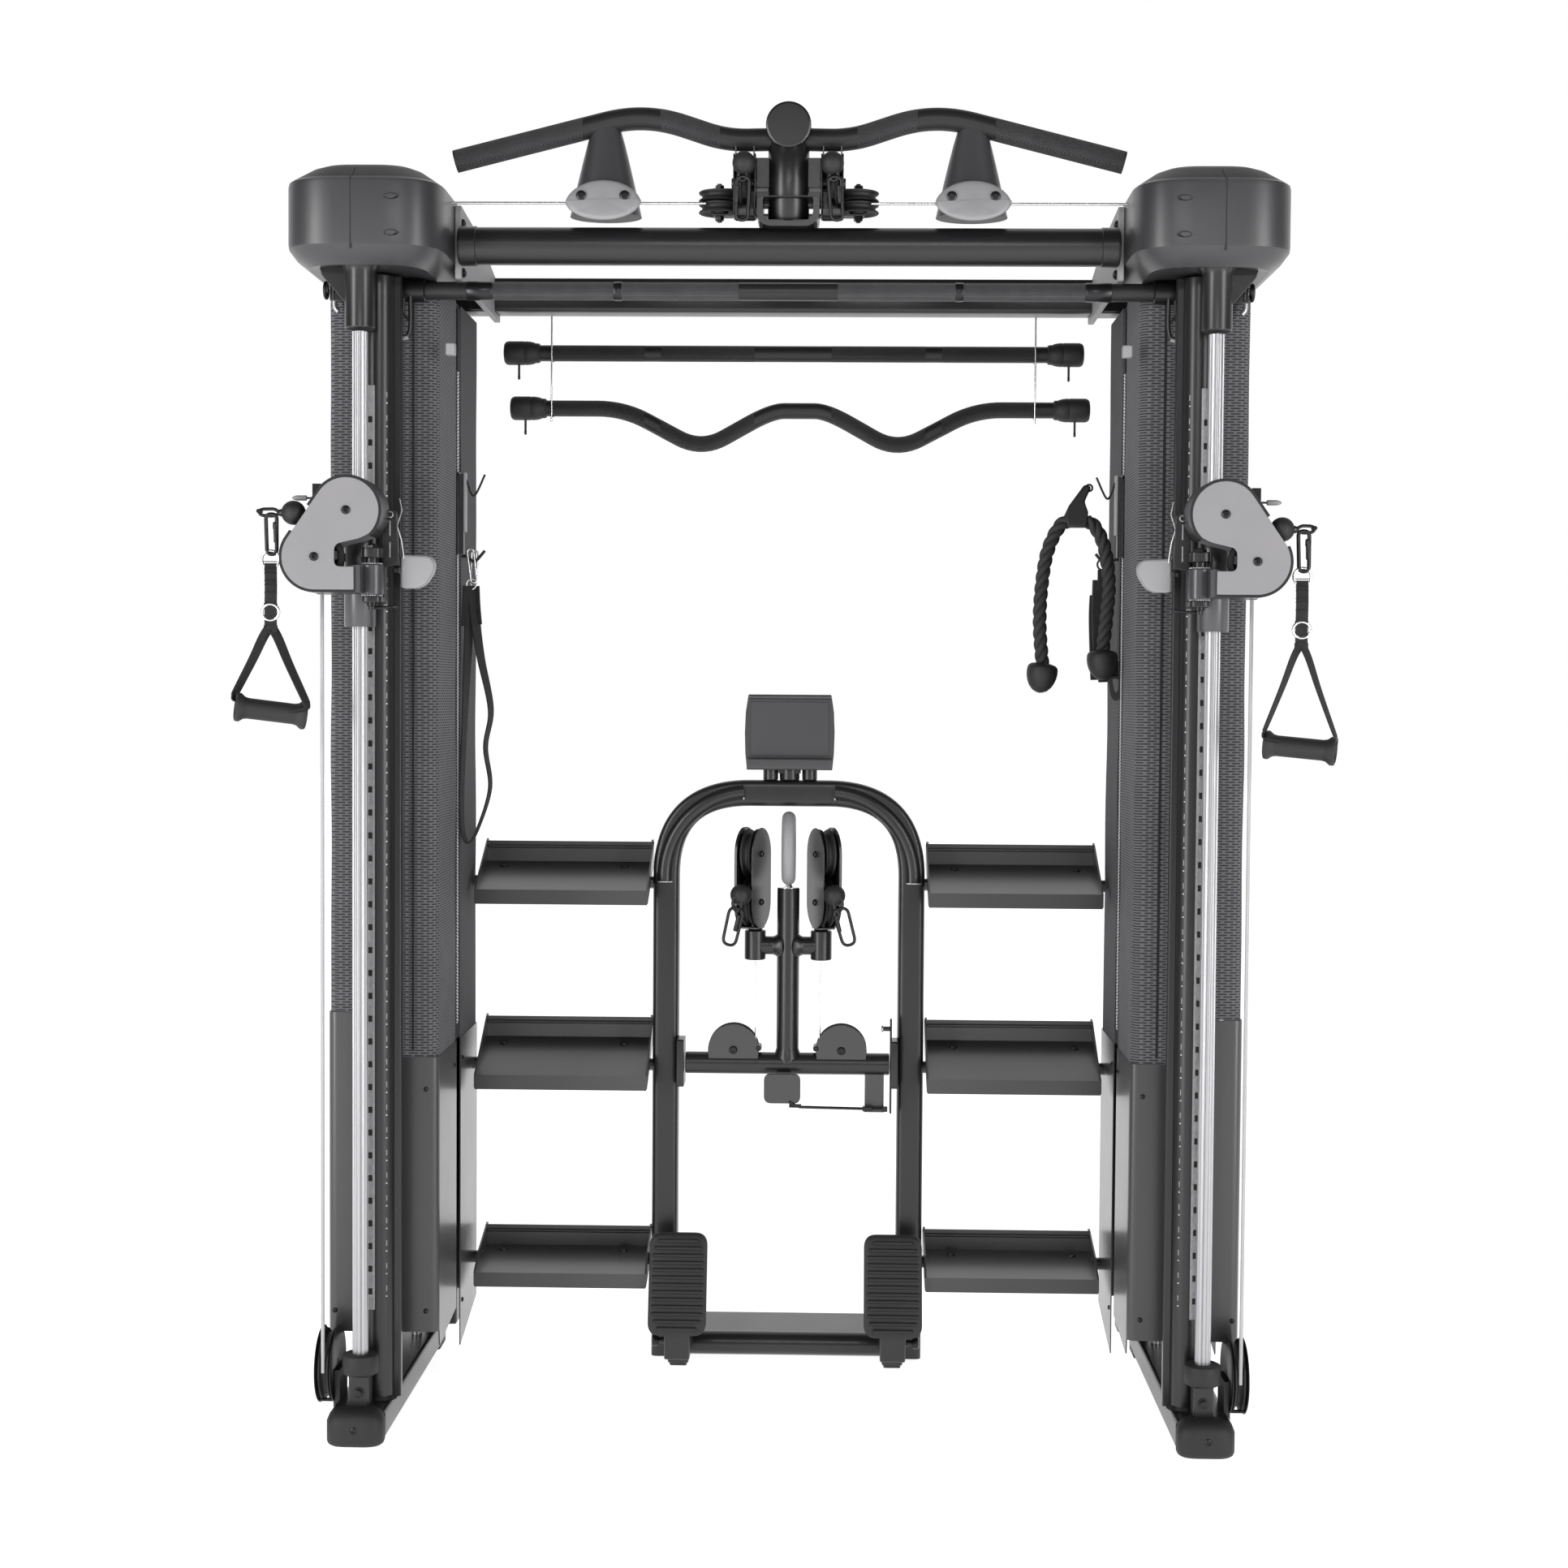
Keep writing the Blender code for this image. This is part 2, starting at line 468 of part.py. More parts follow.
def swivel_arm(s, side, on):
    pivot = empty(f"{side}_arm_swivel", (s * BARREL_X, BARREL_Y, BARREL_Z[0]), on)
    lobes = [(s * x, z) for x, z in stadium(ARM_UPPER, ARM_LOWER, ARM_LOBE_R)]
    plates = [slab(lobes, "y", PLATE_Y[i], PLATE_Y[i + 1]) for i in (0, 2)]
    tongues = [box((s * (BARREL_X + 0.012), PLATE_Y[i], BARREL_Z[0]), (s * ARM_LOWER[0], PLATE_Y[i + 1],
               BARREL_Z[1]))
               for i in (0, 2)]
    barrel = rod((s * BARREL_X, BARREL_Y, BARREL_Z[0]), (s * BARREL_X, BARREL_Y, BARREL_Z[1]), BARREL_R)
    block = box((s * (BARREL_X + 0.004), PLATE_Y[1] - 0.001, BARREL_Z[0]),
                (s * (BARREL_X + 0.026), PLATE_Y[2] + 0.001, BARREL_Z[1]))
    bolts = [rod((s * x, PLATE_Y[0] + 0.001, z), (s * x, PLATE_Y[3] - 0.001, z), AXLE_R, SMALL_SIDES)
             for x, z in (ARM_UPPER, ARM_LOWER)]
    bore = rod((s * BARREL_X, BARREL_Y, BARREL_Z[0] - 0.01), (s * BARREL_X, BARREL_Y, BARREL_Z[1] + 0.01),
               0.006 + LUG_CLEAR, SMALL_SIDES)
    notch = rod((s * BARREL_X, BARREL_Y, BARREL_Z[1] + GAP / 2), (s * BARREL_X, BARREL_Y,
                BARREL_Z[1] + 0.022),
                LUG_R + 0.004)
    make(f"{side}_swivel_arm", "arm_grey", pivot, [plates[0], plates[1], *tongues, barrel, block, *bolts],
         [bore, notch])
    for name, (x, z) in (("upper", ARM_UPPER), ("lower", ARM_LOWER)):
        centre = (s * x, ARM_Y, z)
        axle = empty(f"{side}_arm_pulley_{name}_axle", centre, pivot)
        way = rod((s * x, ARM_Y - 0.02, z), (s * x, ARM_Y + 0.02, z), AXLE_R + AXLE_CLEAR, SMALL_SIDES)
        make(f"{side}_arm_pulley_{name}", "rubber_black", axle, [pulley(centre, (0, 1, 0), ARM_PULLEY_R)],
             [way])
    return pivot


def cable_end(s, side, on):
    """The ball stop and its shackle, which the D-shaped handle hangs from."""
    x, z = BALL_AT[s]
    pivot = empty(f"{side}_cable_pull", (s * x, ARM_Y, z), on)
    stop = ball((s * x, ARM_Y, z), BALL_R)
    link = rod((s * (x + BALL_R - 0.004), ARM_Y, z), (s * (HANDLE_X + 0.008), ARM_Y, z), 0.006, SMALL_SIDES)
    make(f"{side}_cable_end", "rubber_black", pivot, [stop, link])
    return pivot


def handle(s, side, on):
    x, z = HANDLE_X + 0.001, BALL_AT[s][1] - 0.006 - GAP
    swing_z = z - LINK_R
    pivot = empty(f"{side}_handle_swing", (s * x, ARM_Y, swing_z), on)
    grip_z, fork_z = z - HANDLE_DROP[s] + 0.006, z - 0.185
    half = GRIP_LENGTH / 2
    grip = turned((s * x - half, ARM_Y, grip_z), (1, 0, 0),
                  [(0, GRIP_FLANGE_R - 0.003), (0.003, GRIP_FLANGE_R), (0.013, GRIP_FLANGE_R), (0.020,
                   GRIP_R),
                   (2 * half - 0.020, GRIP_R), (2 * half - 0.013, GRIP_FLANGE_R), (2 * half - 0.003,
                           GRIP_FLANGE_R),
                   (2 * half, GRIP_FLANGE_R - 0.003)])
    link = box((s * x - LINK_R, ARM_Y - 0.004, fork_z - 0.006), (s * x + LINK_R, ARM_Y + 0.004, swing_z))
    eye = rod((s * x, ARM_Y - 0.004, swing_z), (s * x, ARM_Y + 0.004, swing_z), LINK_R)
    straps = []
    for way in (-1, 1):
        x0, x1 = s * x + way * 0.004, s * x + way * (half - 0.010)
        straps.append(slab([(x0 - 0.005, fork_z), (x0 + 0.005, fork_z), (x1 + 0.004, grip_z), (x1 - 0.004,
                      grip_z)],
                           "y", ARM_Y - 0.012, ARM_Y + 0.012))
    make(f"{side}_handle", "rubber_black", pivot, [grip, link, eye, *straps])


# ---------------------------------------------------------------- top frame and bars
def mirror_path(half):
    """A path given from the middle outwards on the right, with its mirror image in front."""
    return [(-x, y, z) for x, y, z in reversed(half[1:])] + list(half)


def beams(machine):
    tube = rod((-BEAM_HALF, BEAM_Y, BEAM_Z), (BEAM_HALF, BEAM_Y, BEAM_Z), BEAM_R)
    saddle = box((-0.045, BEAM_Y - 0.035, BEAM_Z), (0.045, BEAM_Y + 0.035, BEAM_Z + BEAM_R + 0.005))
    make("front_beam", "powder_black", machine, [tube, saddle])
    z0, z1 = REAR_BEAM_Z
    edge = rounded([(REAR_BEAM_Y[0], z0), (REAR_BEAM_Y[1], z0), (REAR_BEAM_Y[1], z1), (REAR_BEAM_Y[0],
                   z1)], 0.008, 2)
    solids = [slab([(p.x, p.y) for p in edge], "x", -BEAM_HALF, BEAM_HALF)]
    for x in (-HOOK_X, HOOK_X):
        stem = [(x, REAR_BEAM_Y[1] - 0.005, z0 + 0.02), (x, HOOK_Y, z0 + 0.02), (x, HOOK_Y, 1.69)]
        solids.append(sweep(rounded(stem, 0.012, 3, closed=False), HOOK_R, WIRE_SIDES, up=(1, 0, 0)))
        for z in (STRAIGHT_BAR_Z, CURL_BAR_Z):
            seat = z - BAR_R - HOOK_R - GAP
            cradle = [(x, HOOK_Y - 0.001, seat), (x, BAR_Y + BAR_R, seat), (x, BAR_Y + BAR_R + 0.012,
                      seat + 0.018)]
            solids.append(sweep(rounded(cradle, 0.010, 3, closed=False), HOOK_R, WIRE_SIDES, up=(1, 0, 0)))
    make("rear_beam", "powder_black", machine, solids)


def pull_up_bar(machine):
    foot = BEAM_Z + BEAM_R + GAP
    half = [(0, PULLUP_Y, HUB_Z - 0.015), (0.10, PULLUP_Y, HUB_Z - 0.017), (0.20, PULLUP_Y, 2.121),
            (0.262, PULLUP_Y, 2.123), (0.538, PULLUP_Y, 2.053)]
    bar = sweep(rounded(mirror_path(half), 0.035, 3, closed=False), PULLUP_R)
    post = rod((0, BEAM_Y, BEAM_Z + BEAM_R + 0.005 + GAP), (0, BEAM_Y, HUB_Z), HUB_POST_R)
    hub = turned((0, BEAM_Y - 0.045, HUB_Z), (0, 1, 0), [(0, HUB_R - 0.003), (0.003, HUB_R), (0.075, HUB_R),
                                                         (0.078, HUB_R - 0.003)])
    solids = [bar, post, hub]
    for way in (-1, 1):
        rings = []
        for z, across, deep, y in ((foot, 0.050, 0.030, BEAM_Y), (foot + 0.02, 0.067, 0.040,
                                   BEAM_Y - 0.006),
                                   (foot + 0.05, 0.066, 0.040, BEAM_Y - 0.010), (2.085, 0.040, 0.026,
                                           BEAM_Y - 0.006),
                                   (2.108, 0.030, 0.018, PULLUP_Y)):
            rings.append([(x, yy, z) for x, yy in oval((way * SUPPORT_X, y), across, deep)])
        solids.append(skin(rings))
        cheek_x = way * TOP_PULLEY_X
        for off in (-0.017, 0.015):
            solids.append(box((cheek_x + off, BEAM_Y - 0.050, TOP_PULLEY_Z - 0.032),
                              (cheek_x + off + 0.002, BEAM_Y + 0.012, 2.062)))
        solids.append(box((0, BEAM_Y - 0.004, 2.053), (way * (TOP_PULLEY_X + 0.017), BEAM_Y + 0.012,
                                                       2.062)))
        solids.append(rod((cheek_x - 0.016, BEAM_Y - 0.020, TOP_PULLEY_Z), (cheek_x + 0.016,
                      BEAM_Y - 0.020, TOP_PULLEY_Z),
                          0.005, SMALL_SIDES))
        side_disc = turned((way * 0.112, BEAM_Y + 0.005, 1.980), (0, 0, 1), [(0, 0.030), (0.005, 0.033),
                           (0.009, 0.027),
                           (0.017, 0.027), (0.021, 0.033), (0.026, 0.030)], SMALL_SIDES)
        solids.append(side_disc)
        solids.append(box((0, BEAM_Y + 0.001, 1.983), (way * 0.10, BEAM_Y + 0.010, 1.990)))
    make("pull_up_bar", "powder_black", machine, solids)
    for way, side in ((-1, "left"), (1, "right")):
        centre = (way * TOP_PULLEY_X, BEAM_Y - 0.020, TOP_PULLEY_Z)
        pivot = empty(f"top_pulley_{side}_axle", centre, machine)
        bore = rod((centre[0] - 0.02, centre[1], centre[2]), (centre[0] + 0.02, centre[1], centre[2]),
                   0.0058, SMALL_SIDES)
        make(f"top_pulley_{side}", "rubber_black", pivot, [pulley(centre, (1, 0, 0), TOP_PULLEY_R, 0.009,
             0.006)], [bore])


def smith_bar(machine):
    pivot = empty("sliding_bar_slide", (0, SMITH_Y, SMITH_Z), machine)
    solids = [rod((-SMITH_HALF, SMITH_Y, SMITH_Z), (SMITH_HALF, SMITH_Y, SMITH_Z), SMITH_R),
              rod((-SMITH_PIN_HALF, SMITH_Y, SMITH_Z), (SMITH_PIN_HALF, SMITH_Y, SMITH_Z), 0.006,
                  SMALL_SIDES)]
    for way in (-1, 1):
        x = way * 0.612
        hook = [(x, SMITH_Y, SMITH_Z), (x, SMITH_Y, 1.792), (way * 0.618, SMITH_Y, 1.772), (way * 0.632,
                SMITH_Y, 1.770)]
        solids.append(sweep(rounded(hook, 0.008, 3, closed=False), 0.005, SMALL_SIDES))
    make("sliding_bar", "powder_black", pivot, solids)


def capped_bar(name, path, end_x, machine):
    z = path[0][2]
    solids = [sweep(path, BAR_R, SMALL_SIDES)]
    for way in (-1, 1):
        tip = end_x[way]
        root = tip - way * BAR_CAP_LENGTH
        solids.append(turned((root, BAR_Y, z), (way, 0, 0), [(0, BAR_R + 0.002), (0.010, BAR_CAP_R - 0.003),
                      (BAR_CAP_LENGTH - 0.024, BAR_CAP_R), (BAR_CAP_LENGTH - 0.004,
                                                            BAR_CAP_R), (BAR_CAP_LENGTH,
                                                                    BAR_CAP_R - 0.004)]))
        solids.append(box((root + way * 0.036, BAR_Y - 0.002, z - BAR_CAP_R - 0.022), (root + way * 0.041,
                      BAR_Y + 0.002, z - 0.010)))
    make(name, "powder_black", machine, solids)


def accessory_bars(machine):
    reach = BAR_HALF - 0.020
    capped_bar("straight_bar", [(-reach, BAR_Y, STRAIGHT_BAR_Z), (reach, BAR_Y, STRAIGHT_BAR_Z)],
               {-1: -BAR_HALF, 1: BAR_HALF}, machine)
    z = CURL_BAR_Z
    half = [(0, BAR_Y, z - 0.003), (0.050, BAR_Y, z - 0.003), (0.178, BAR_Y, z - 0.075), (0.320, BAR_Y, z),
            (reach, BAR_Y, z)]
    path = [(x + CURL_BAR_X, y, h) for x, y, h in mirror_path(half)]
    capped_bar("curl_bar", rounded(path, 0.045, 3, closed=False), {-1: CURL_BAR_X - BAR_HALF,
               1: CURL_BAR_X + BAR_HALF}, machine)


# ---------------------------------------------------------------- centre frame
def centre_arch(machine):
    outline = [(-ARCH_X, ARCH_Y, 0), (-ARCH_X, ARCH_Y, ARCH_TOP), (ARCH_X, ARCH_Y, ARCH_TOP), (ARCH_X,
               ARCH_Y, 0)]
    arch = sweep(rounded(outline, ARCH_CORNER, 7, closed=False), ARCH_R)
    cross = rod((-ARCH_X, ARCH_Y, CROSS_R), (ARCH_X, ARCH_Y, CROSS_R), CROSS_R)
    plate = box((-ARCH_X, ARCH_Y, CROSS_R + 0.014), (ARCH_X, BASE_BACK, CROSS_R + 0.019))
    skirt = box((-ARCH_X, BASE_BACK - 0.004, 0), (ARCH_X, BASE_BACK, CROSS_R + 0.019))
    ears = [box((way * (SWING_HALF + 0.0015), SWING_Y - 0.020, SWING_Z - 0.045),
                (way * (SWING_HALF + 0.0055), ARCH_Y, SWING_Z + 0.045))
            for way in (-1, 1)]
    ties = [box((way * (SWING_HALF + 0.0020), ARCH_Y - 0.010, SWING_Z - 0.045), (way * (ARCH_X - 0.010),
            ARCH_Y + 0.010, SWING_Z + 0.045))
            for way in (-1, 1)]
    make("centre_arch", "powder_black", machine, [arch, cross, plate, skirt, *ears, *ties])


def centre_column(machine):
    pivot = empty("column_swing", (0, SWING_Y, SWING_Z), machine)
    y, z = SWING_Y, SWING_Z
    cross = rod((-SWING_HALF, y, z), (SWING_HALF, y, z), SWING_R)
    mast = rod((0, y, z), (0, y, COLUMN_TOP), COLUMN_R)
    neck = rod((0, y, COLUMN_TOP - 0.002), (0, y, COLUMN_TOP + 0.020), 0.006, SMALL_SIDES)
    loop = [(0, y + a, h) for a, h in oval((0, 0.924), 0.034, 0.058)]
    ring = [circle(p, Vector(loop[(i + 1) % SIDES]) - Vector(loop[i - 1]), 0.0075, 8, (1, 0, 0)) for i,
            p in enumerate(loop)]
    stub = rod((-BLOCK_X, y, 0.752), (BLOCK_X, y, 0.752), 0.016)
    sockets = [rod((way * BLOCK_X, y, 0.727), (way * BLOCK_X, y, 0.780 - GAP), 0.019) for way in (-1, 1)]
    wheels = [rod((way * 0.076, y, z + 0.032), (way * 0.110, y, z + 0.032), 0.047) for way in (-1, 1)]
    pedal = box((-0.032, y - 0.030, z - 0.062), (0.032, y - 0.024, z))
    pedal_stay = box((-0.012, y - 0.028, z - 0.010), (0.012, y, z + 0.006))
    latch = box((0.128, y - 0.012, z - 0.062), (0.166, y + 0.012, z - 0.014))
    link = rod((0.01, y - 0.021, z - 0.055), (0.140, y - 0.008, z - 0.055), 0.004, SMALL_SIDES)
    make("centre_column", "powder_black", pivot,
         [cross, mast, neck, stub, *sockets, *wheels, pedal, pedal_stay, latch, link, closed_ring(ring)])
    return pivot


def closed_ring(rings):
    """A ring-shaped solid: the last circle of points joins back to the first."""
    bm = bmesh.new()
    rows = [[bm.verts.new(p) for p in ring] for ring in rings]
    for lower, upper in zip(rows, rows[1:] + rows[:1]):
        for i in range(len(lower)):
            j = (i + 1) % len(lower)
            bm.faces.new((lower[i], lower[j], upper[j], upper[i]))
    bmesh.ops.recalc_face_normals(bm, faces=bm.faces)
    return bm


def column_block(way, side, on):
    pivot = empty(f"column_block_{side}_swivel", (way * BLOCK_X, SWING_Y, 0.780), on)
    outline = stadium((SWING_Y - 0.012, BLOCK_Z[0]), (SWING_Y - 0.012, BLOCK_Z[1]), BLOCK_R)
    x = way * BLOCK_X
    body = slab(outline, "x", x - BLOCK_HALF, x + BLOCK_HALF)
    stem = rod((x, SWING_Y, 0.780), (x, SWING_Y, BLOCK_Z[0]), 0.013, SMALL_SIDES)
    stop = ball((x, SWING_Y - 0.072, BLOCK_Z[0] + 0.012), BALL_R)
    neck = rod((x, SWING_Y - 0.03, BLOCK_Z[0] + 0.012), (x, SWING_Y - 0.060, BLOCK_Z[0] + 0.012), 0.010,
               SMALL_SIDES)
    turn = Matrix.Rotation(way * BLOCK_YAW, 4, "Z")
    centre = Vector((x, SWING_Y, 0))
    for solid in (body, stem, stop, neck):
        bmesh.ops.rotate(solid, verts=solid.verts, cent=centre, matrix=turn)
    make(f"column_block_{side}", "powder_black", pivot, [body, stem, neck, stop])


def foot_plate(way, side, machine):
    x, half = way * FOOT_PLATE_X, FOOT_PLATE_W / 2
    z0, z1 = FOOT_PLATE_Z
    leg_front = ARCH_Y - ARCH_R - GAP
    corners = rounded([(x - half, z0), (x + half, z0), (x + half, z1), (x - half, z1)], 0.022, 3)
    low, high, thick = leg_front - 0.110, leg_front - 0.060, 0.018

    def lean(p, back):
        return (p.x, low + (high - low) * (p.y - z0) / (z1 - z0) + back, p.y)
    plate = skin([[lean(p, 0) for p in corners], [lean(p, thick) for p in corners]])
    stay = box((x - 0.0225, low + 0.012, 0.020), (x + 0.0225, leg_front, 0.110))
    shoe = box((x - 0.0200, leg_front - 0.060, 0), (x + 0.0200, leg_front - 0.010, 0.030))
    knob = rod((x, leg_front - 0.050, 0.045), (x + way * 0.048, leg_front - 0.050, 0.045), 0.007,
               SMALL_SIDES)
    make(f"foot_plate_{side}", "rubber_black", machine, [plate, stay, shoe, knob])


def tablet_holder(machine):
    hinge_z = ARCH_TOP + ARCH_R + HOLDER_HINGE_R + GAP
    pivot = empty("tablet_holder_tilt", (0, ARCH_Y, hinge_z), machine)
    (y0, y1), (z0, z1) = HOLDER_Y, HOLDER_Z
    panel = box((-HOLDER_HALF, y0, z0), (HOLDER_HALF, y1, z1))
    lip = box((-HOLDER_HALF, y0 - 0.016, z0), (HOLDER_HALF, y0 + 0.002, z0 + 0.010))
    hinge = rod((-HOLDER_FOOT, ARCH_Y, hinge_z), (HOLDER_FOOT, ARCH_Y, hinge_z), HOLDER_HINGE_R)
    neck = box((-HOLDER_FOOT, y0 + 0.002, hinge_z), (HOLDER_FOOT, ARCH_Y, z0 + 0.002))
    make("tablet_holder", "cover_grey", pivot, [panel, lip, hinge, neck])


def tray(way, side, level, machine):
    z, rise = TRAY_HEIGHTS[level], TRAY_BACK[level]
    (y0, y1), t = TRAY_Y, TRAY_SHEET
    (x0, x1) = TRAY_X
    lip, slope = 0.026, rise - 0.040
    outline = [(y0, z), (y0 + t, z), (y0 + t, z + lip - t), (y1, z + slope), (y1, z + rise), (y1 - t,
               z + rise),
               (y1 - t, z + slope + t), (y0, z + lip)]
    sheet = slab(outline, "x", way * x0, way * x1)
    ends = [slab([(y0, z + 0.002), (y1, z + slope), (y1, z + rise), (y0 + 0.05, z + lip + 0.028), (y0,
            z + lip)], "x",
                 way * a, way * (a + t)) for a in (x0 - t / 2, x1 - t / 2)]
    mid = (y0 + y1) / 2 + 0.012
    stub_z = z + 0.034
    inner = rod((way * (x0 + t), mid, stub_z), (way * (ARCH_X + ARCH_R * 0.2), mid, stub_z), 0.011,
                SMALL_SIDES)
    tower_face = COVER_X[0] - STEEL_PROUD - GAP
    outer = rod((way * (x1 - t), mid, stub_z), (way * tower_face, mid, stub_z), 0.011, SMALL_SIDES)
    leg = rod((way * ARCH_X, ARCH_Y, stub_z - 0.05), (way * ARCH_X, ARCH_Y, stub_z + 0.05), ARCH_R + GAP)
    make(f"tray_{level}_{side}", "cover_grey", machine, [sheet, *ends, inner, outer], [leg])


def triceps_rope(machine):
    """The rope hangs in an inverted U from a hook on the right tower, each branch ending in a rubber ball."""
    x, y, top = 0.500, 0.330, 1.505
    tower = COVER_X[0] - GAP
    peg = rod((tower, y, top + 0.052), (x + 0.012, y, top + 0.052), 0.004, SMALL_SIDES)
    yoke = box((x - 0.012, y - 0.007, top - 0.010), (x + 0.018, y + 0.007, top + 0.058))
    path = [(x - 0.062, y, top - 0.285), (x - 0.058, y, top - 0.13), (x - 0.040, y, top), (x + 0.035, y,
            top),
            (x + 0.048, y, top - 0.12), (x + 0.040, y, top - 0.262)]
    cord = sweep(rounded(path, 0.050, 4, closed=False), 0.012, SMALL_SIDES)
    ends = [turned((px, y, pz - 0.018), (0, 0, 1), [(-0.020, 0.012), (-0.014, 0.022), (0, 0.0265), (0.014,
            0.024), (0.026, 0.014)],
                   16) for px, pz in ((path[0][0], path[0][2]), (path[-1][0], path[-1][2]))]
    make("triceps_rope", "rubber_black", machine, [cord, peg, yoke, *ends])


def main():
    clear_scene()
    machine = empty("machine", (0, 0, 0))
    for s, side in ((-1, "left"), (1, "right")):
        base_foot(s, side, machine)
        rails(s, side, machine)
        top_housing(s, side, machine)
        side_frame(s, side, machine)
        shroud(s, side, machine)
        steel_covers(s, side, machine)
        weight_stack(s, side, machine)
        bottom_pulley(s, side, machine)
        tower_cable(s, side, machine)
        slider = carriage(s, side, machine)
        height_lever(s, side, slider)
        arm = swivel_arm(s, side, slider)
        handle(s, side, cable_end(s, side, arm))
        foot_plate(s, side, machine)
        for level in TRAY_HEIGHTS:
            tray(s, side, level, machine)
    beams(machine)
    pull_up_bar(machine)
    smith_bar(machine)
    accessory_bars(machine)
    centre_arch(machine)
    column = centre_column(machine)
    for way, side in ((-1, "left"), (1, "right")):
        column_block(way, side, column)
    tablet_holder(machine)
    triceps_rope(machine)


main()
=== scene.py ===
"""Looks of the cable crossover machine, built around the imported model. Metres, +Z up, the user at -Y."""

import math

import bmesh
import bpy
from mathutils import Matrix, Vector


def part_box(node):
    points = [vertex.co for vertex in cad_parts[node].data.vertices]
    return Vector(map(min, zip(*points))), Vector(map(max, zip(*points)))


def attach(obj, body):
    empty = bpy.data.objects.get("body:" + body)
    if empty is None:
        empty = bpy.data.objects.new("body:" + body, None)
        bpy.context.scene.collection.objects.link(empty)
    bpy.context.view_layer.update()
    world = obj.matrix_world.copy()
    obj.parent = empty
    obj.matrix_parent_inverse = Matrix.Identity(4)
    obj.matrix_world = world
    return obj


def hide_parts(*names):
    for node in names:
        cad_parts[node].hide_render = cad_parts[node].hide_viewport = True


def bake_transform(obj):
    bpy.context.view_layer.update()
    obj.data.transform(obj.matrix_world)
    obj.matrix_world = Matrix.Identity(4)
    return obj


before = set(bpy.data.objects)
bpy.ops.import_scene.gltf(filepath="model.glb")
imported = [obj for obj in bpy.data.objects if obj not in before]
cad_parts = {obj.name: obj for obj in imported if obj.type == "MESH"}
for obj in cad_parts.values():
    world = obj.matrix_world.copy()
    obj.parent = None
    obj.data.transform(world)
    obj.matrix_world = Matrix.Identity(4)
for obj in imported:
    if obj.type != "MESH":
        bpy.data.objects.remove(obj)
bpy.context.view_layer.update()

SIDES = (("left", -1), ("right", 1))
TUBE = 40                         # facets round a tube that is seen close up
WIRE = 12                         # facets round a wire
FINE = 24


def middle(node):
    low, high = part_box(node)
    return (low + high) / 2


ROD_PLANE = middle("right_guide_rod").y     # every y below is measured from the guide rods


# ---------------------------------------------------------------- shaders
class Value:
    """A node's output; arithmetic on it adds Math nodes."""

    def __init__(self, coat, socket):
        self.coat, self.socket = coat, socket

    def math(self, operation, *others):
        return self.coat.node("ShaderNodeMath", {"operation": operation}, dict(enumerate((self, *others))))

    def __add__(self, other):
        return self.math("ADD", other)

    def __sub__(self, other):
        return self.math("SUBTRACT", other)

    def __rsub__(self, other):
        return self.coat.node("ShaderNodeMath", {"operation": "SUBTRACT"}, {0: other, 1: self})

    def __mul__(self, other):
        return self.math("MULTIPLY", other)

    def __truediv__(self, other):
        return self.math("DIVIDE", other)

    def __lt__(self, other):
        return self.math("LESS_THAN", other)

    def __gt__(self, other):
        return self.math("GREATER_THAN", other)

    def __abs__(self):
        return self.math("ABSOLUTE")

    __radd__, __rmul__ = __add__, __mul__


class Coat:
    """One material: a Principled shader and the nodes that feed it."""

    def __init__(self, name, colour, roughness, metallic=0.0, **fixed):
        self.material = bpy.data.materials.new(name)
        self.material.use_nodes = True
        self.tree = self.material.node_tree
        self.shader = self.tree.nodes["Principled BSDF"]
        self.colour = colour
        self.set("Base Color", (*colour, 1))
        self.set("Roughness", roughness)
        self.set("Metallic", metallic)
        for key, value in fixed.items():
            self.set(key.replace("_", " ").title(), value)

    def set(self, socket, value):
        self.put(self.shader, socket, value)

    def put(self, node, key, value):
        if isinstance(value, Value):
            self.tree.links.new(value.socket, node.inputs[key])
        else:
            node.inputs[key].default_value = value

    def node(self, kind, settings, values, output=0):
        node = self.tree.nodes.new(kind)
        for key, setting in settings.items():
            setattr(node, key, setting)
        for key, value in values.items():
            self.put(node, key, value)
        return Value(self, node.outputs[output])

    def place(self):
        """The surface point's x, y and z in the machine's frame."""
        where = self.node("ShaderNodeTexCoord", {}, {}, "Object")
        return [self.node("ShaderNodeSeparateXYZ", {}, {0: where}, i) for i in range(3)]

    def noise(self, scale, detail=3, stretch=(1, 1, 1)):
        where = self.node("ShaderNodeTexCoord", {}, {}, "Object")
        spread = self.node("ShaderNodeMapping", {}, {"Vector": where, "Scale": stretch})
        return self.node("ShaderNodeTexNoise", {}, {"Vector": spread, "Scale": scale, "Detail": detail})

    def mix(self, factor, first, second):
        return self.node("ShaderNodeMix", {"data_type": "RGBA"},
                         {"Factor": factor, 6: (*first, 1), 7: (*second, 1)}, 2)

    def bump(self, height, distance):
        values = {"Height": height, "Distance": distance, "Strength": 1.0}
        self.set("Normal", self.node("ShaderNodeBump", {}, values))


def shade(colour, factor):
    return tuple(min(channel * factor, 1) for channel in colour)


def coated(name, colour, roughness, metallic=0.0, grain=1400, depth=0.00006, blotch=0.10, **fixed):
    """Powder coat, moulded plastic or rubber: fine grain, with cloudy changes in tone and gloss."""
    coat = Coat(name, colour, roughness, metallic, **fixed)
    cloud = coat.noise(9, 4)
    coat.set("Base Color", coat.mix(cloud, shade(colour, 1 - blotch), shade(colour, 1 + blotch)))
    coat.set("Roughness", cloud * 0.12 + (roughness - 0.06))
    coat.bump(coat.noise(grain, 2), depth)
    return coat.material


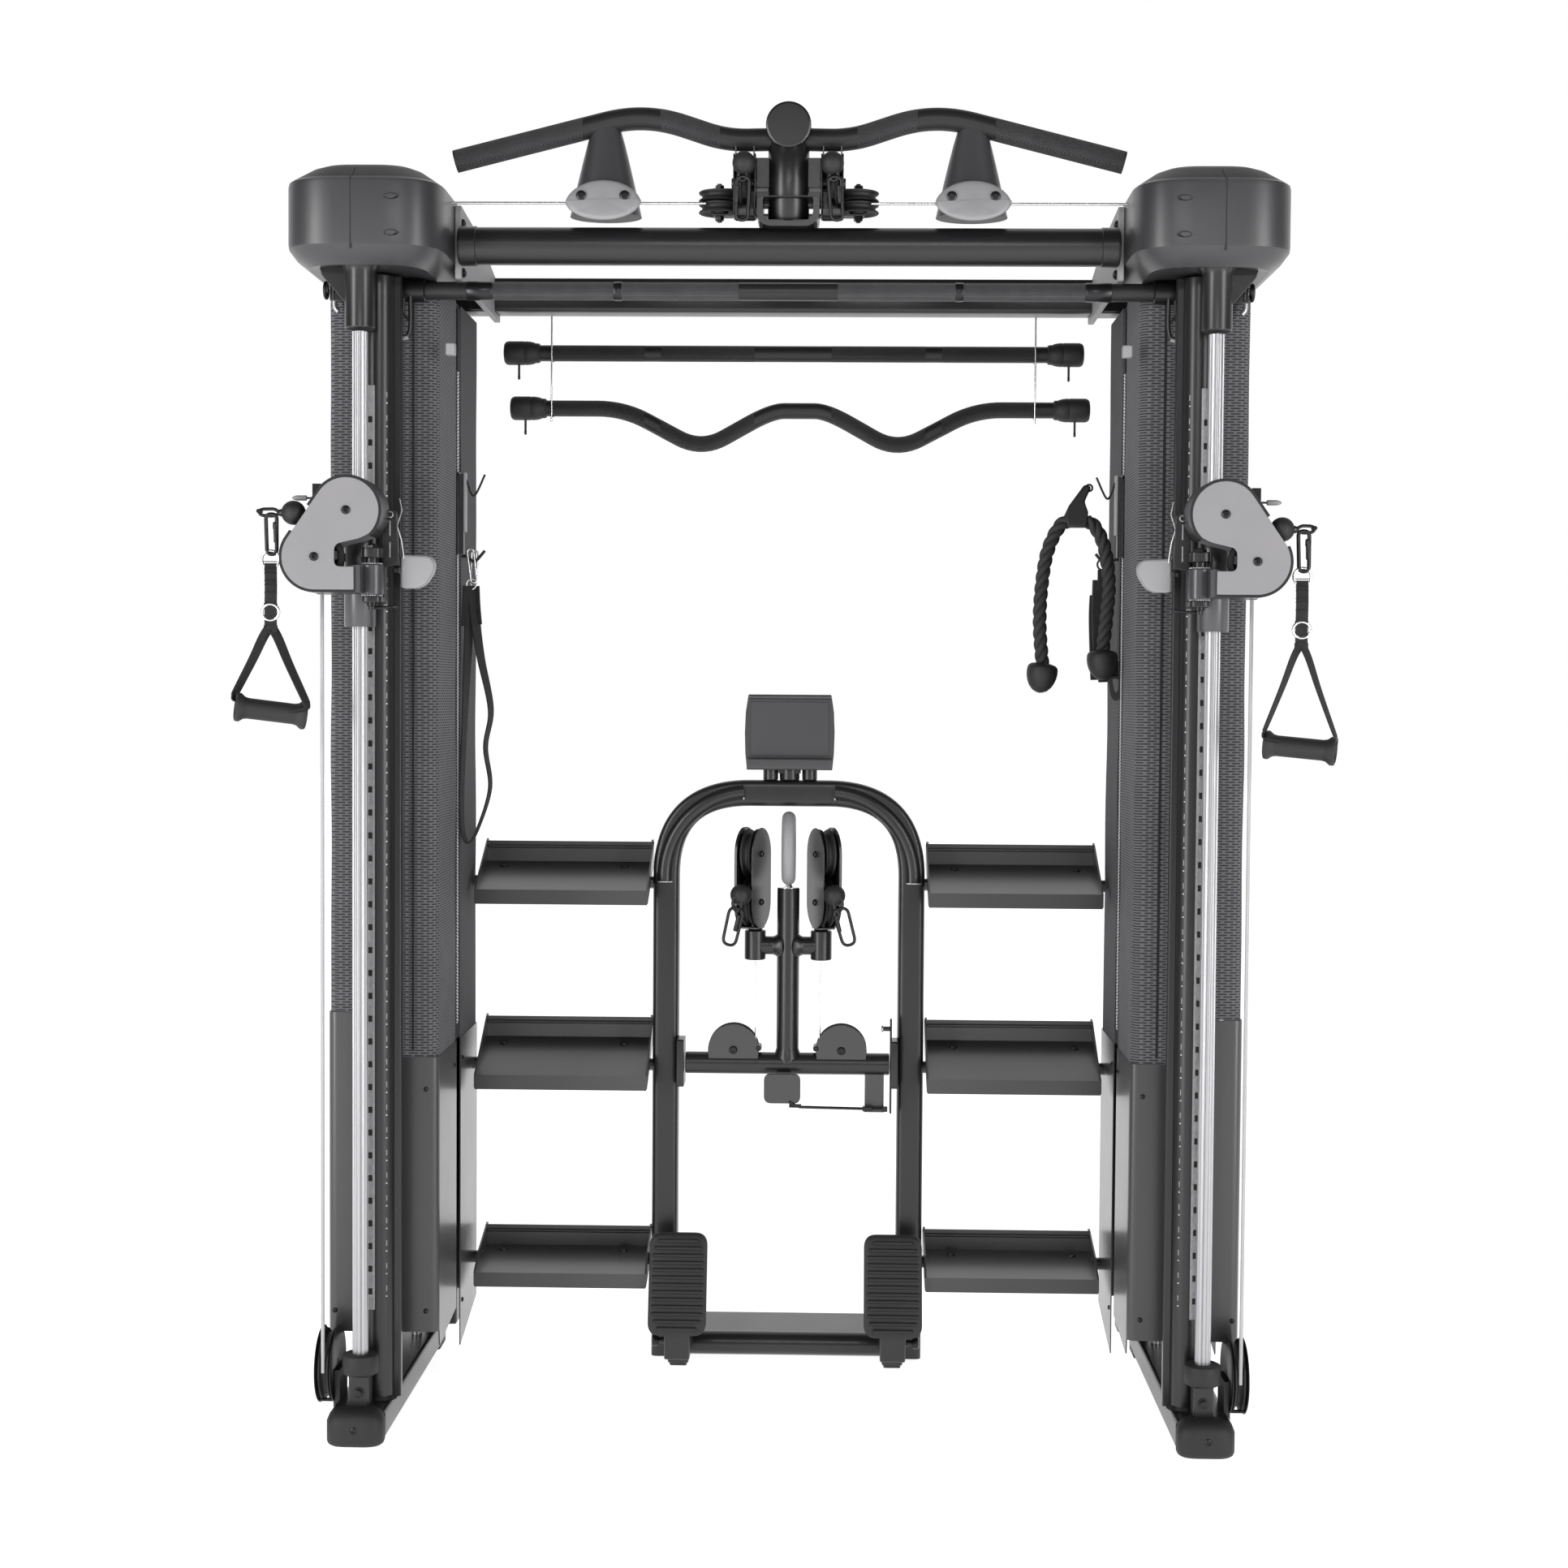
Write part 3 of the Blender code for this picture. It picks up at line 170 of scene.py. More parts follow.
def brushed(name, colour, roughness, stretch, streak=0.10, metallic=1.0, depth=0.00003):
    """Bright drawn metal with fine streaks along one axis."""
    coat = Coat(name, colour, roughness, metallic)
    lines = coat.noise(60, 4, stretch)
    coat.set("Base Color", coat.mix(lines, shade(colour, 1 - streak * 2), shade(colour, 1 + streak)))
    coat.set("Roughness", lines * 0.2 + (roughness - 0.08))
    coat.bump(lines, depth)
    return coat.material


def between(value, low, high):
    return (value > low) * (value < high)


def knurled(name, colour, roughness, bands, pitch=0.0021, lift=1.6):
    """Bar finish: plain powder coat, with diamond knurling on the bands of |x| that are listed."""
    coat = Coat(name, colour, roughness, 0.35)
    x, y, z = coat.place()
    around = y + z
    first, second = (x + around) * (2 * math.pi / pitch), (x - around) * (2 * math.pi / pitch)
    diamonds = first.math("SINE") * second.math("SINE")
    reach = abs(x)
    mask = sum((between(reach, low, high) for low, high in bands[1:]), between(reach, *bands[0]))
    cloud = coat.noise(40, 4)
    worn = mask * (diamonds * 0.5 + 0.5) * (cloud * 0.6 + 0.5)
    coat.set("Base Color", coat.mix(worn, colour, shade(colour, lift * 2.2)))
    coat.set("Roughness", mask * 0.12 + roughness)
    coat.bump(diamonds * mask + coat.noise(1200, 2) * 0.1, 0.00045)
    return coat.material


def woven_mesh(name, colour):
    """Open mesh cloth: staggered dark slots in rows, over fine vertical ribs in its bump."""
    row, dash = 0.0044, 0.0200
    coat = Coat(name, colour, 0.85)
    x, y, z = coat.place()
    across = x + y
    line = z / row
    band = line.math("FLOOR")
    stagger = band.math("MODULO", 2) * 0.5
    along = (across / dash + stagger).math("FRACT") - 0.5
    up = line.math("FRACT") - 0.5
    slot = (abs(along) < 0.38) * (abs(up) < 0.24)
    ribs = (across * (2 * math.pi / 0.0030)).math("SINE") * 0.5 + 0.5
    cloud = coat.noise(30, 4)
    tone = coat.mix(cloud, shade(colour, 0.8), shade(colour, 1.25))
    # painted shade: the slots are real openings, drawn near black for the shaded, dark inside of the tower seen
    # through them; the cloth between keeps its own tone
    values = {"Factor": slot * 0.88, 6: tone, 7: (*shade(colour, 0.10), 1)}
    coat.set("Base Color", coat.node("ShaderNodeMix", {"data_type": "RGBA"}, values, 2))
    coat.bump((1 - slot) + ribs * 0.25 + cloud * 0.2, 0.0007)
    return coat.material


def herringbone(name, colour):
    """Close-woven side cloth: zigzag rows of twill."""
    pitch, wide = 0.008, 0.024
    coat = Coat(name, colour, 0.88)
    x, y, z = coat.place()
    across = x + y
    zigzag = abs((across / wide).math("FRACT") - 0.5) * wide
    twill = ((z + zigzag * 1.6) * (2 * math.pi / pitch)).math("SINE") * 0.5 + 0.5
    cloud = coat.noise(35, 4)
    coat.set("Base Color", coat.mix(twill * 0.75 + cloud * 0.25, shade(colour, 0.45), shade(colour, 1.35)))
    coat.bump(twill + cloud * 0.2, 0.0006)
    return coat.material


def webbing(name, colour):
    coat = Coat(name, colour, 0.8)
    x, y, z = coat.place()
    weave = ((x + y * 0.6) * 3400).math("SINE") * ((z + y) * 3400).math("SINE")
    cloud = coat.noise(60, 3)
    coat.set("Base Color", coat.mix(cloud, shade(colour, 0.7), shade(colour, 1.5)))
    coat.bump(weave + cloud * 0.4, 0.0004)
    return coat.material


BLACK = coated("black_powder", (0.0085, 0.0085, 0.0095), 0.34, 0.0, coat_weight=0.15, coat_roughness=0.26)
STEEL = coated("charcoal_steel", (0.027, 0.027, 0.0295), 0.42, 0.0, blotch=0.06, coat_weight=0.6,
        coat_roughness=0.22)
SHELL = coated("shell_plastic", (0.032, 0.0315, 0.0345), 0.40, 0.0, 900, 0.00008, coat_weight=0.35,
        coat_roughness=0.36)
LID = coated("lid_plastic", (0.010, 0.010, 0.011), 0.52, 0.0, 900, 0.00010)
RUBBER = coated("black_rubber", (0.012, 0.012, 0.013), 0.60, 0.0, 500, 0.00018, 0.2)
# painted shade: near black for the shade inside the height strip's square holes
PAINTED_HOLE_SHADE = coated("painted_hole_shade", (0.003, 0.003, 0.003), 0.8, 0.0, 900, 0.00005)
SATIN = coated("satin_steel", (0.075, 0.075, 0.080), 0.30, 0.35, blotch=0.05, coat_weight=0.2,
        coat_roughness=0.25)
IRON = coated("stack_iron", (0.030, 0.030, 0.032), 0.6, 0.3)
PLATE_GREY = coated("arm_plate_grey", (0.235, 0.230, 0.240), 0.46, 0.0, blotch=0.08)
LIGHT = coated("light_grey_plastic", (0.27, 0.27, 0.28), 0.45, 0.0, blotch=0.08)
SIDE_GREY = coated("side_plate_grey", (0.30, 0.295, 0.305), 0.55, 0.0, blotch=0.06)
BOLT = coated("blackened_bolt", (0.035, 0.035, 0.037), 0.30, 0.85, 600, 0.00005)
BRIGHT = brushed("bright_rod", (0.44, 0.44, 0.455), 0.30, (30, 30, 0.15), 0.04, 0.8, 0.0)
STRIP = brushed("strip_metal", (0.50, 0.50, 0.51), 0.38, (6, 6, 2.5), 0.22)
CHROME = brushed("chrome_wire", (0.80, 0.80, 0.81), 0.20, (3, 3, 3))
CABLE = coated("coated_cable", (0.42, 0.42, 0.43), 0.40, 0.0, 2500, 0.00004)
TEETH = coated("zip_teeth", (0.72, 0.72, 0.73), 0.45, 0.0, 800)
MESH = woven_mesh("mesh_cloth", (0.125, 0.125, 0.135))
TWILL = herringbone("side_cloth", (0.062, 0.062, 0.067))
TAPE = webbing("zip_tape", (0.012, 0.012, 0.013))
WEB = webbing("strap_webbing", (0.018, 0.018, 0.019))
ROPE = coated("rope_fibre", (0.020, 0.020, 0.021), 0.70, 0.0, 900, 0.00030, 0.25)
BAR_GRIP = knurled("sliding_bar_finish", (0.020, 0.020, 0.021), 0.36, [(0.080, 0.270), (0.282, 0.478)],
        0.0026, 3.0)
PULL_GRIP = knurled("pull_up_finish", (0.018, 0.018, 0.019), 0.42, [(0.110, 0.205), (0.330, 0.535)], 0.0030,
        2.0)
PLAIN_BAR = knurled("accessory_bar_finish", (0.018, 0.018, 0.019), 0.42, [(0.070, 0.240), (0.270, 0.440)],
        0.0030, 1.2)


# ---------------------------------------------------------------- shapes: each is (points, faces)
def skin(rings, closed=False):
    points = [Vector(p) for ring in rings for p in ring]
    count, total = len(rings[0]), len(rings)
    faces = []
    for row in range(total if closed else total - 1):
        a, b = row * count, (row + 1) % total * count
        faces += [(a + i, a + (i + 1) % count, b + (i + 1) % count, b + i) for i in range(count)]
    if not closed:
        faces += [tuple(range(count)), tuple((total - 1) * count + i for i in range(count))]
    return points, faces


def circle(centre, axis, radius, sides=TUBE, up=None):
    axis = Vector(axis).normalized()
    across = Vector(up) if up else axis.orthogonal()
    across = (across - axis * across.dot(axis)).normalized()
    other = axis.cross(across)
    turns = [2 * math.pi * i / sides for i in range(sides)]
    return [Vector(centre) + radius * (math.cos(t) * across + math.sin(t) * other) for t in turns]


def rod(start, end, radius, sides=TUBE):
    """A bar with softened ends."""
    start, end = Vector(start), Vector(end)
    axis = (end - start).normalized()
    soft = min(0.0015, radius * 0.3, (end - start).length * 0.3)
    return skin([circle(start, axis, radius - soft, sides), circle(start + axis * soft, axis, radius, sides),
                 circle(end - axis * soft, axis, radius, sides), circle(end, axis, radius - soft, sides)])


def turned(base, axis, profile, sides=TUBE):
    axis = Vector(axis).normalized()
    return skin([circle(Vector(base) + axis * h, axis, max(r, 0.0001), sides) for h, r in profile])


def ball(centre, radius, axis=(0, 0, 1), sides=FINE):
    profile = [(-radius * math.cos(math.pi * i / 12), radius * math.sin(math.pi * i / 12)) for i in range(13)]
    return turned(centre, axis, profile, sides)


def box(low, high):
    (x0, x1), (y0, y1), (z0, z1) = [sorted(pair) for pair in zip(low, high)]
    return skin([[(x0, y0, z), (x1, y0, z), (x1, y1, z), (x0, y1, z)] for z in (z0, z1)])


def slab(outline, axis, low, high):
    at = "xyz".index(axis)              # where the height goes among the coordinates
    return skin([[(*pair[:at], h, *pair[at:]) for pair in outline] for h in (low, high)])


def rounded(corners, radius, steps=6, closed=True):
    points = [Vector(c) for c in corners]
    count, out = len(points), []
    for i, corner in enumerate(points):
        if not closed and i in (0, count - 1):
            out.append(corner)
            continue
        before, after = points[i - 1] - corner, points[(i + 1) % count] - corner
        a = corner + before.normalized() * min(radius, before.length * 0.49)
        b = corner + after.normalized() * min(radius, after.length * 0.49)
        turns = [k / steps for k in range(steps + 1)]
        out += [a * (1 - t) ** 2 + corner * 2 * t * (1 - t) + b * t * t for t in turns]
    return out


def bent(corners, radius, steps=5):
    """An open path with rounded corners."""
    return rounded(corners, radius, steps, closed=False)


def flat(corners, radius, steps=6):
    """A rounded outline as plain pairs."""
    return [(p[0], p[1]) for p in rounded(corners, radius, steps)]


def sweep(path, radius, sides=WIRE, up=(0, 1, 0), closed=False):
    points = [Vector(p) for p in path]
    last = len(points) - 1
    rings = []
    for i, point in enumerate(points):
        if closed:
            ahead = points[(i + 1) % len(points)] - points[i - 1]
        else:
            ahead = points[min(i + 1, last)] - points[max(i - 1, 0)]
        rings.append(circle(point, ahead, radius, sides, up))
    return skin(rings, closed)


def ribbon(path, width, thickness, across=(0, 1, 0)):
    """Flat webbing along a path; across is its width's direction, or several that it twists through."""
    points = [Vector(p) for p in path]
    stops = [Vector(a) for a in across] if hasattr(across[0], "__len__") else [Vector(across)]
    last, rings = len(points) - 1, []
    for i, point in enumerate(points):
        ahead = points[min(i + 1, last)] - points[max(i - 1, 0)]
        at = i / last * (len(stops) - 1)
        first = min(int(at), max(len(stops) - 2, 0))
        wide = stops[first].lerp(stops[min(first + 1, len(stops) - 1)], at - first).normalized()
        thick = ahead.cross(wide).normalized() * thickness / 2
        wide = thick.cross(ahead).normalized() * width / 2
        rings.append([point - wide - thick, point + wide - thick, point + wide + thick, point - wide + thick])
    return skin(rings)


def arc(centre, radius, start, end, plane="xz", steps=16):
    """Points on an arc, in degrees, drawn across y ('xz') or across x ('yz')."""
    out = []
    for k in range(steps + 1):
        t = math.radians(start + (end - start) * k / steps)
        a, b = radius * math.cos(t), radius * math.sin(t)
        out.append(tuple(c + d for c, d in zip(centre, (a, 0, b) if plane == "xz" else (0, a, b))))
    return out


def stadium(first, second, radius, steps=16):
    a, b = Vector(first), Vector(second)
    heading, out = math.atan2(b.y - a.y, b.x - a.x), []
    for centre, start in ((b, heading - math.pi / 2), (a, heading + math.pi / 2)):
        for k in range(steps + 1):
            t = start + math.pi * k / steps
            out.append((centre.x + radius * math.cos(t), centre.y + radius * math.sin(t)))
    return out


def spun(shape, centre, axis, degrees):
    turn = Matrix.Rotation(math.radians(degrees), 3, axis)
    centre = Vector(centre)
    return [centre + turn @ (p - centre) for p in shape[0]], shape[1]


def piece(name, shapes, material, body="root", replaces=(), bevel=0.0, sharp=35, segments=2):
    """One visible piece: its closed shapes in one mesh, placed in the machine's frame and fixed to a body."""
    points, faces = [], []
    for shape in shapes:
        start = len(points)
        points += [Vector(p) + Vector((0, ROD_PLANE, 0)) for p in shape[0]]
        faces += [tuple(start + i for i in face) for face in shape[1]]
    mesh = bpy.data.meshes.new(name)
    mesh.from_pydata(points, [], faces)
    mesh.validate()
    obj = bpy.data.objects.new(name, mesh)
    bpy.context.scene.collection.objects.link(obj)
    tidy_normals(mesh)
    mesh.materials.append(material)
    if bevel:
        edge = obj.modifiers.new("soft_edges", "BEVEL")
        edge.width, edge.segments, edge.limit_method = bevel, segments, "ANGLE"
        edge.angle_limit = math.radians(40)
        edge.harden_normals = False
    mesh.shade_smooth()
    mesh.set_sharp_from_angle(angle=math.radians(sharp))
    if body:
        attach(obj, body)
    if replaces:
        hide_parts(*([replaces] if isinstance(replaces, str) else replaces))
    return obj


def tidy_normals(mesh):
    bm = bmesh.new()
    bm.from_mesh(mesh)
    bmesh.ops.recalc_face_normals(bm, faces=bm.faces)
    bm.to_mesh(mesh)
    bm.free()


def socket_bolt(centre, axis, radius=0.0075, height=0.004):
    """A button head with a sunk hexagonal socket."""
    return turned(centre, axis, [(0, radius), (height * 0.5, radius), (height * 0.9, radius * 0.8),
                                 (height, radius * 0.55), (height * 0.35, radius * 0.5),
                                 (height * 0.35, radius * 0.05)], FINE)


def carabiner(top, length, width, wire, lean=0.0):
    """A snap hook hanging from its top: a narrow rounded loop with a gate and a nose."""
    half, r = width / 2, width * 0.42
    outline = rounded([(-half * 0.75, 0), (half, 0), (half, -length), (-half * 0.55, -length)], r, 6)
    turn = math.radians(lean)
    path = []
    for p in outline:
        a, b = p.x * math.cos(turn) - p.y * math.sin(turn), p.x * math.sin(turn) + p.y * math.cos(turn)
        path.append((top[0] + a, top[1], top[2] + b))
    return sweep(path, wire, closed=True)


def ring(centre, radius, wire, plane="xz", squash=1.0):
    path = [(p[0], p[1], centre[2] + (p[2] - centre[2]) * squash) for p in arc(centre, radius, 0, 360, plane,
            28)[:-1]]
    return sweep(path, wire, WIRE, (0, 1, 0) if plane == "xz" else (1, 0, 0), closed=True)


# ---------------------------------------------------------------- places read from the frame
def near(value):
    return value - ROD_PLANE


def depth_of(node):
    return near(middle(node).y)


rod_low, rod_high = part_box("right_guide_rod")
post_low, post_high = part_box("right_front_post")
foot_low, foot_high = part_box("right_base_foot")
cover_low, cover_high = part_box("right_mesh_shroud")
steel_low, steel_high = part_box("right_steel_cover_front")
rear_low, rear_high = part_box("right_steel_cover_rear")
house_low, house_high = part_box("right_top_housing")
ROD_X, BUMPER_R = middle("right_guide_rod").x, (rod_high.x - rod_low.x) / 2
ROD_R, ROD_Z = 0.0125, (rod_low.z, rod_high.z)
POST_X, POST_Y = middle("right_front_post").x, depth_of("right_front_post")
POST_R = (post_high.x - post_low.x) / 2
HOLE_PITCH, MARK_TURN = 0.037, 38    # the height marks look this many degrees inwards
PULLEY = middle("right_bottom_pulley")
PULLEY_R = (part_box("right_bottom_pulley")[1].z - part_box("right_bottom_pulley")[0].z) / 2
ARM_FRONT, ARM_BACK = (near(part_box("right_swivel_arm")[i].y) for i in (0, 1))
ARM_Y = depth_of("right_arm_pulley_upper")
UPPER, LOWER = ((middle(f"right_arm_pulley_{n}").x, middle(f"right_arm_pulley_{n}").z)
        for n in ("upper", "lower"))
BARREL = Vector((0.645, -0.055, 1.383))
COVER_SPLIT = (0.294, 0.346)
STEP_X, STEP_TOP = 0.7003, steel_high.z


# ---------------------------------------------------------------- towers
def fluted_rod(s, side):
    """Bright extruded rod with shallow flutes, standing in a rubber bumper."""
    sides, flutes, depth, rings = 160, 10, 0.0017, []
    for z in (ROD_Z[0] + 0.001, ROD_Z[1]):
        rings.append([])
        for i in range(sides):
            t = 2 * math.pi * i / sides
            r = ROD_R - depth * max(0.0, math.cos(flutes * t)) ** 2
            rings[-1].append((s * ROD_X + r * math.cos(t), r * math.sin(t), z))
    piece(f"{side}_fluted_rod", [skin(rings)], BRIGHT, replaces=f"{side}_guide_rod", sharp=50)
    low = ROD_Z[0]
    piece(f"{side}_rod_bumper", [turned((s * ROD_X, 0, low), (0, 0, 1),
          [(0, BUMPER_R - 0.004), (0.002, BUMPER_R - 0.001), (0.004, BUMPER_R), (0.029, BUMPER_R),
          (0.0315, BUMPER_R - 0.001),
           (0.033, BUMPER_R - 0.004)])], RUBBER)


def front_post(s, side):
    x = s * POST_X
    tube = rod((x, POST_Y, post_low.z), (x, POST_Y, post_high.z), POST_R)
    piece(f"{side}_post_tube", [tube], BLACK, replaces=f"{side}_front_post")
    slots, dashes, angle = [], [], math.radians(MARK_TURN)
    for i in range(40):
        z = 0.22 + HOLE_PITCH * i
        cx, cy = x - s * POST_R * math.sin(angle), POST_Y - POST_R * math.cos(angle)
        for z_mid, half_wide, half_high, found in ((z, 0.0014, 0.0012, slots), (z + 0.013, 0.0008, 0.0045,
                dashes)):
            slot = box((cx - half_wide, cy - 0.0005, z_mid - half_high), (cx + half_wide, cy + 0.0016, z_mid
                    + half_high))
            found.append(spun(slot, (cx, cy, z_mid), "Z", -s * MARK_TURN))
    piece(f"{side}_post_marks", slots, STRIP, bevel=0.0003)
    piece(f"{side}_post_dashes", dashes, SIDE_GREY)
    strip_low, strip_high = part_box(f"{side}_height_strip")
    hole_x, face = (strip_low.x + strip_high.x) / 2 - s * 0.0025, near(strip_low.y)
    # painted shade: dark boxes just proud of the height strip's face stand in for its square holes and the
    # shade inside them
    hole_shade_boxes = [box((hole_x - 0.0036, face - 0.0003, z - 0.005), (hole_x + 0.0036, face + 0.002, z + 0.005))
             for z in (0.230 + HOLE_PITCH * i for i in range(39))]
    piece(f"{side}_strip_hole_shade", hole_shade_boxes, PAINTED_HOLE_SHADE)
    rib = box((x - s * (POST_R + 0.011), POST_Y - 0.004, post_low.z), (x - s * (POST_R - 0.002), POST_Y
            + 0.010, post_high.z))
    piece(f"{side}_post_rib", [rib], BLACK, bevel=0.002)


HOUSING_CORNER = 0.085
LID_RISE = 0.012                    # the lid's dome stands this far over the plain CAD shell


def housing(s, levels):
    """A closed shell through rounded rings, each the housing's plan drawn in by an inset at a height."""
    rings = []
    for inset, z in levels:
        x0, x1 = house_low.x + inset, house_high.x - inset
        y0, y1 = near(house_low.y) + inset, near(house_high.y) - inset
        corners = [(s * x0, y0), (s * x1, y0), (s * x1, y1), (s * x0, y1)]
        rings.append([(p.x, p.y, z) for p in rounded(corners, HOUSING_CORNER - inset * 0.6, 10)])
    return skin(rings)


def top_housing(s, side):
    z1 = house_high.z + LID_RISE
    z0 = house_high.z - 0.150
    body = housing(s, [(0.060, z0 + 0.004), (0.030, z0 - 0.0005), (0.012, z0 + 0.012), (0.001, z0 + 0.027),
                       (0.0, z0 + 0.034), (0.0, z1 - 0.040), (0.001, z1 - 0.034), (0.006, z1 - 0.030)])
    lid = housing(s, [(0.005, z1 - 0.0335), (0.006, z1 - 0.030), (0.034, z1 - 0.010), (0.050, z1 - 0.003),
                      (0.075, z1), (0.100, z1 + 0.0025)])
    piece(f"{side}_housing_shell", [body], SHELL, replaces=f"{side}_top_housing", sharp=28)
    piece(f"{side}_housing_lid", [lid], LID, sharp=28)
    cx, front = s * (house_low.x + house_high.x) / 2, near(house_low.y)
    seam_x = s * 0.676
    seam = [box((seam_x - 0.0009, front - 0.0004, z0 + 0.020), (seam_x + 0.0009, front + 0.004, z1 - 0.036))]
    seam.append(slab([(front + 0.0015, z1 - 0.036), (front + 0.032, z1 - 0.0125), (front + 0.070, z1 - 0.001),
            (front + 0.070, z1 + 0.0004),
                      (front + 0.031, z1 - 0.011), (front, z1 - 0.034)], "x", seam_x - 0.0014, seam_x
                      + 0.0014))
    piece(f"{side}_housing_seam", seam, LID)
    inner = cx - s * 0.052
    for name, z in (("upper", z1 - 0.062), ("lower", z1 - 0.118)):
        dish = turned((inner, front + 0.004, z), (0, -1, 0), [(0, 0.0115), (0.0042, 0.0115), (0.0046, 0.0108),
                (0.0035, 0.009), (0.0016, 0.003)], 32)
        flattened = [Vector((p.x, p.y, z + (p.z - z) * 0.42)) for p in dish[0]], dish[1]
        piece(f"{side}_housing_screw_well_{name}", [flattened], LID)
    x = s * ROD_X
    collar = turned((x, 0, z0 + 0.006), (0, 0, -1), [(0, 0.030), (0.006, 0.026), (0.012, 0.024),
            (0.0985, 0.024), (0.100, 0.0225)])
    web = slab([(0.020, z0 + 0.004), (0.064, z0 + 0.004), (0.060, z0 - 0.010), (0.022, z0 - 0.055)], "y",
            -0.004, 0.004)
    web = ([Vector((x + s * p.x, p.y, p.z)) for p in web[0]], web[1])
    stay = box((x + s * 0.026, 0.016, z0 - 0.046), (x + s * 0.052, 0.022, z0 - 0.020))
    piece(f"{side}_rod_sleeve", [collar, web, stay], BLACK, bevel=0.001)
    loop = ring((x + s * 0.058, 0.019, z0 - 0.030), 0.012, 0.0028, "yz")
    post_stub = rod((x + s * 0.046, 0.019, z0 + 0.006), (x + s * 0.046, 0.019, z0 - 0.045), 0.004, WIRE)
    piece(f"{side}_sleeve_loop", [loop, post_stub], BOLT)
    bar_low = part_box("sliding_bar")[0].z
    latch = box((s * 0.5400, 0.094, bar_low - 0.0175), (s * 0.5555, 0.109, bar_low + 0.002))
    piece(f"{side}_bar_latch", [latch], LIGHT, "sliding_bar", bevel=0.002)


SIDE_PLATE = (0.531, 0.5407)
REAR_Y, REAR_Z = (0.470, 0.530), (1.880, 1.940)     # the rear beam


def upright(s, side):
    """Side plate, rear arm and rear post: the plate's inner face is pale grey."""
    x0, x1 = SIDE_PLATE
    outline = flat([(0.098, 1.870), (0.540, 1.870), (0.540, 1.930), (0.30, 1.976), (0.098, 1.990)], 0.006, 4)
    piece(f"{side}_side_plate", [slab(outline, "x", s * x0, s * x1)], SIDE_GREY,
            replaces=f"{side}_rear_upright", bevel=0.001)
    arm = box((s * (x0 + 0.003), REAR_Y[0], REAR_Z[0]), (s * 0.655, REAR_Y[1], REAR_Z[1]))
    post = box((s * 0.600, 0.490, 0.0503), (s * 0.655, 0.532, REAR_Z[1]))
    piece(f"{side}_rear_post", [arm, post], BLACK, bevel=0.004)
    bolts = [socket_bolt((s * (x0 - 0.0002), y, z), (-s, 0, 0), 0.008, 0.005)
            for y, z in ((0.112, 1.962), (0.118, 1.884))]
    piece(f"{side}_side_plate_bolts", bolts, BOLT)
    lid = box((s * (cover_low.x + 0.004), COVER_SPLIT[0] + 0.010, 1.8665), (s * (cover_high.x - 0.004),
            near(cover_high.y) - 0.004, 1.8695))
    piece(f"{side}_tower_lid", [lid], BLACK, bevel=0.001)


def u_outline(s, x0, x1, y_open, y_end, corner, step=None):
    """Three sides of a tower in plan: in along the inner side, across, and back along the outer side."""
    outline = bent([(s * x0, y_open), (s * x0, y_end), (s * x1, y_end), (s * x1, y_open)], corner, 8)
    if step:
        outline[10:10] = [Vector((s * (step - 0.0004), y_end)), Vector((s * (step + 0.0004), y_end))]
    return outline


def fine_path(outline, longest):
    out = [outline[0]]
    for a, b in zip(outline, outline[1:]):
        count = max(1, math.ceil((b - a).length / longest))
        out += [a.lerp(b, k / count) for k in range(1, count + 1)]
    return out


def cloth_wrap(s, y_open, y_end, low, high, step=None):
    """A mesh cover drawn tight round three sides of the tower, with slight ripples between its fixings."""
    outline = u_outline(s, cover_low.x, cover_high.x, y_open, y_end, 0.022, step and step[0])
    path = fine_path(outline, 0.012)
    rows, across, thick = 70, len(path), 0.0018
    centre = Vector((s * (cover_low.x + cover_high.x) / 2, (y_open + y_end) / 2))
    outside, inside = [], []
    for r in range(rows + 1):
        v = r / rows
        for i, p in enumerate(path):
            ahead = (path[min(i + 1, across - 1)] - path[max(i - 1, 0)]).normalized()
            out = Vector((ahead.y, -ahead.x))
            out *= math.copysign(1, out.dot(p - centre))
            u = i / across
            hold = math.sin(math.pi * v)
            wave = 0.0011 * hold * math.sin(7 * math.pi * u + 5 * v) * math.sin(23 * v + 4 * u)
            belly = -0.0024 * hold * math.sin(3 * math.pi * u) ** 2
            base = step[1] if step and s * p.x > step[0] else low
            q = p + out * (wave + belly)
            w = q - out * thick
            z = base + (high - base) * v
            outside.append((q.x, q.y, z))
            inside.append((w.x, w.y, z))
    size, faces = len(outside), []
    for r in range(rows):
        for i in range(across - 1):
            a = r * across + i
            faces.append((a, a + 1, a + across + 1, a + across))
            faces.append((size + a, size + a + across, size + a + across + 1, size + a + 1))
    rim = [*range(across), *(r * across + across - 1 for r in range(1, rows + 1)),
           *(rows * across + i for i in range(across - 2, -1, -1)),
           *(r * across for r in range(rows - 1, 0, -1))]
    faces += [(a, size + a, size + b, b) for a, b in zip(rim, rim[1:] + rim[:1])]
    width = sum((b - a).length for a, b in zip(outline, outline[1:]))
    return (outside + inside, faces), width


GARAGE = (1.440, 1.572)             # heights of the flap that covers the zip by the hooks


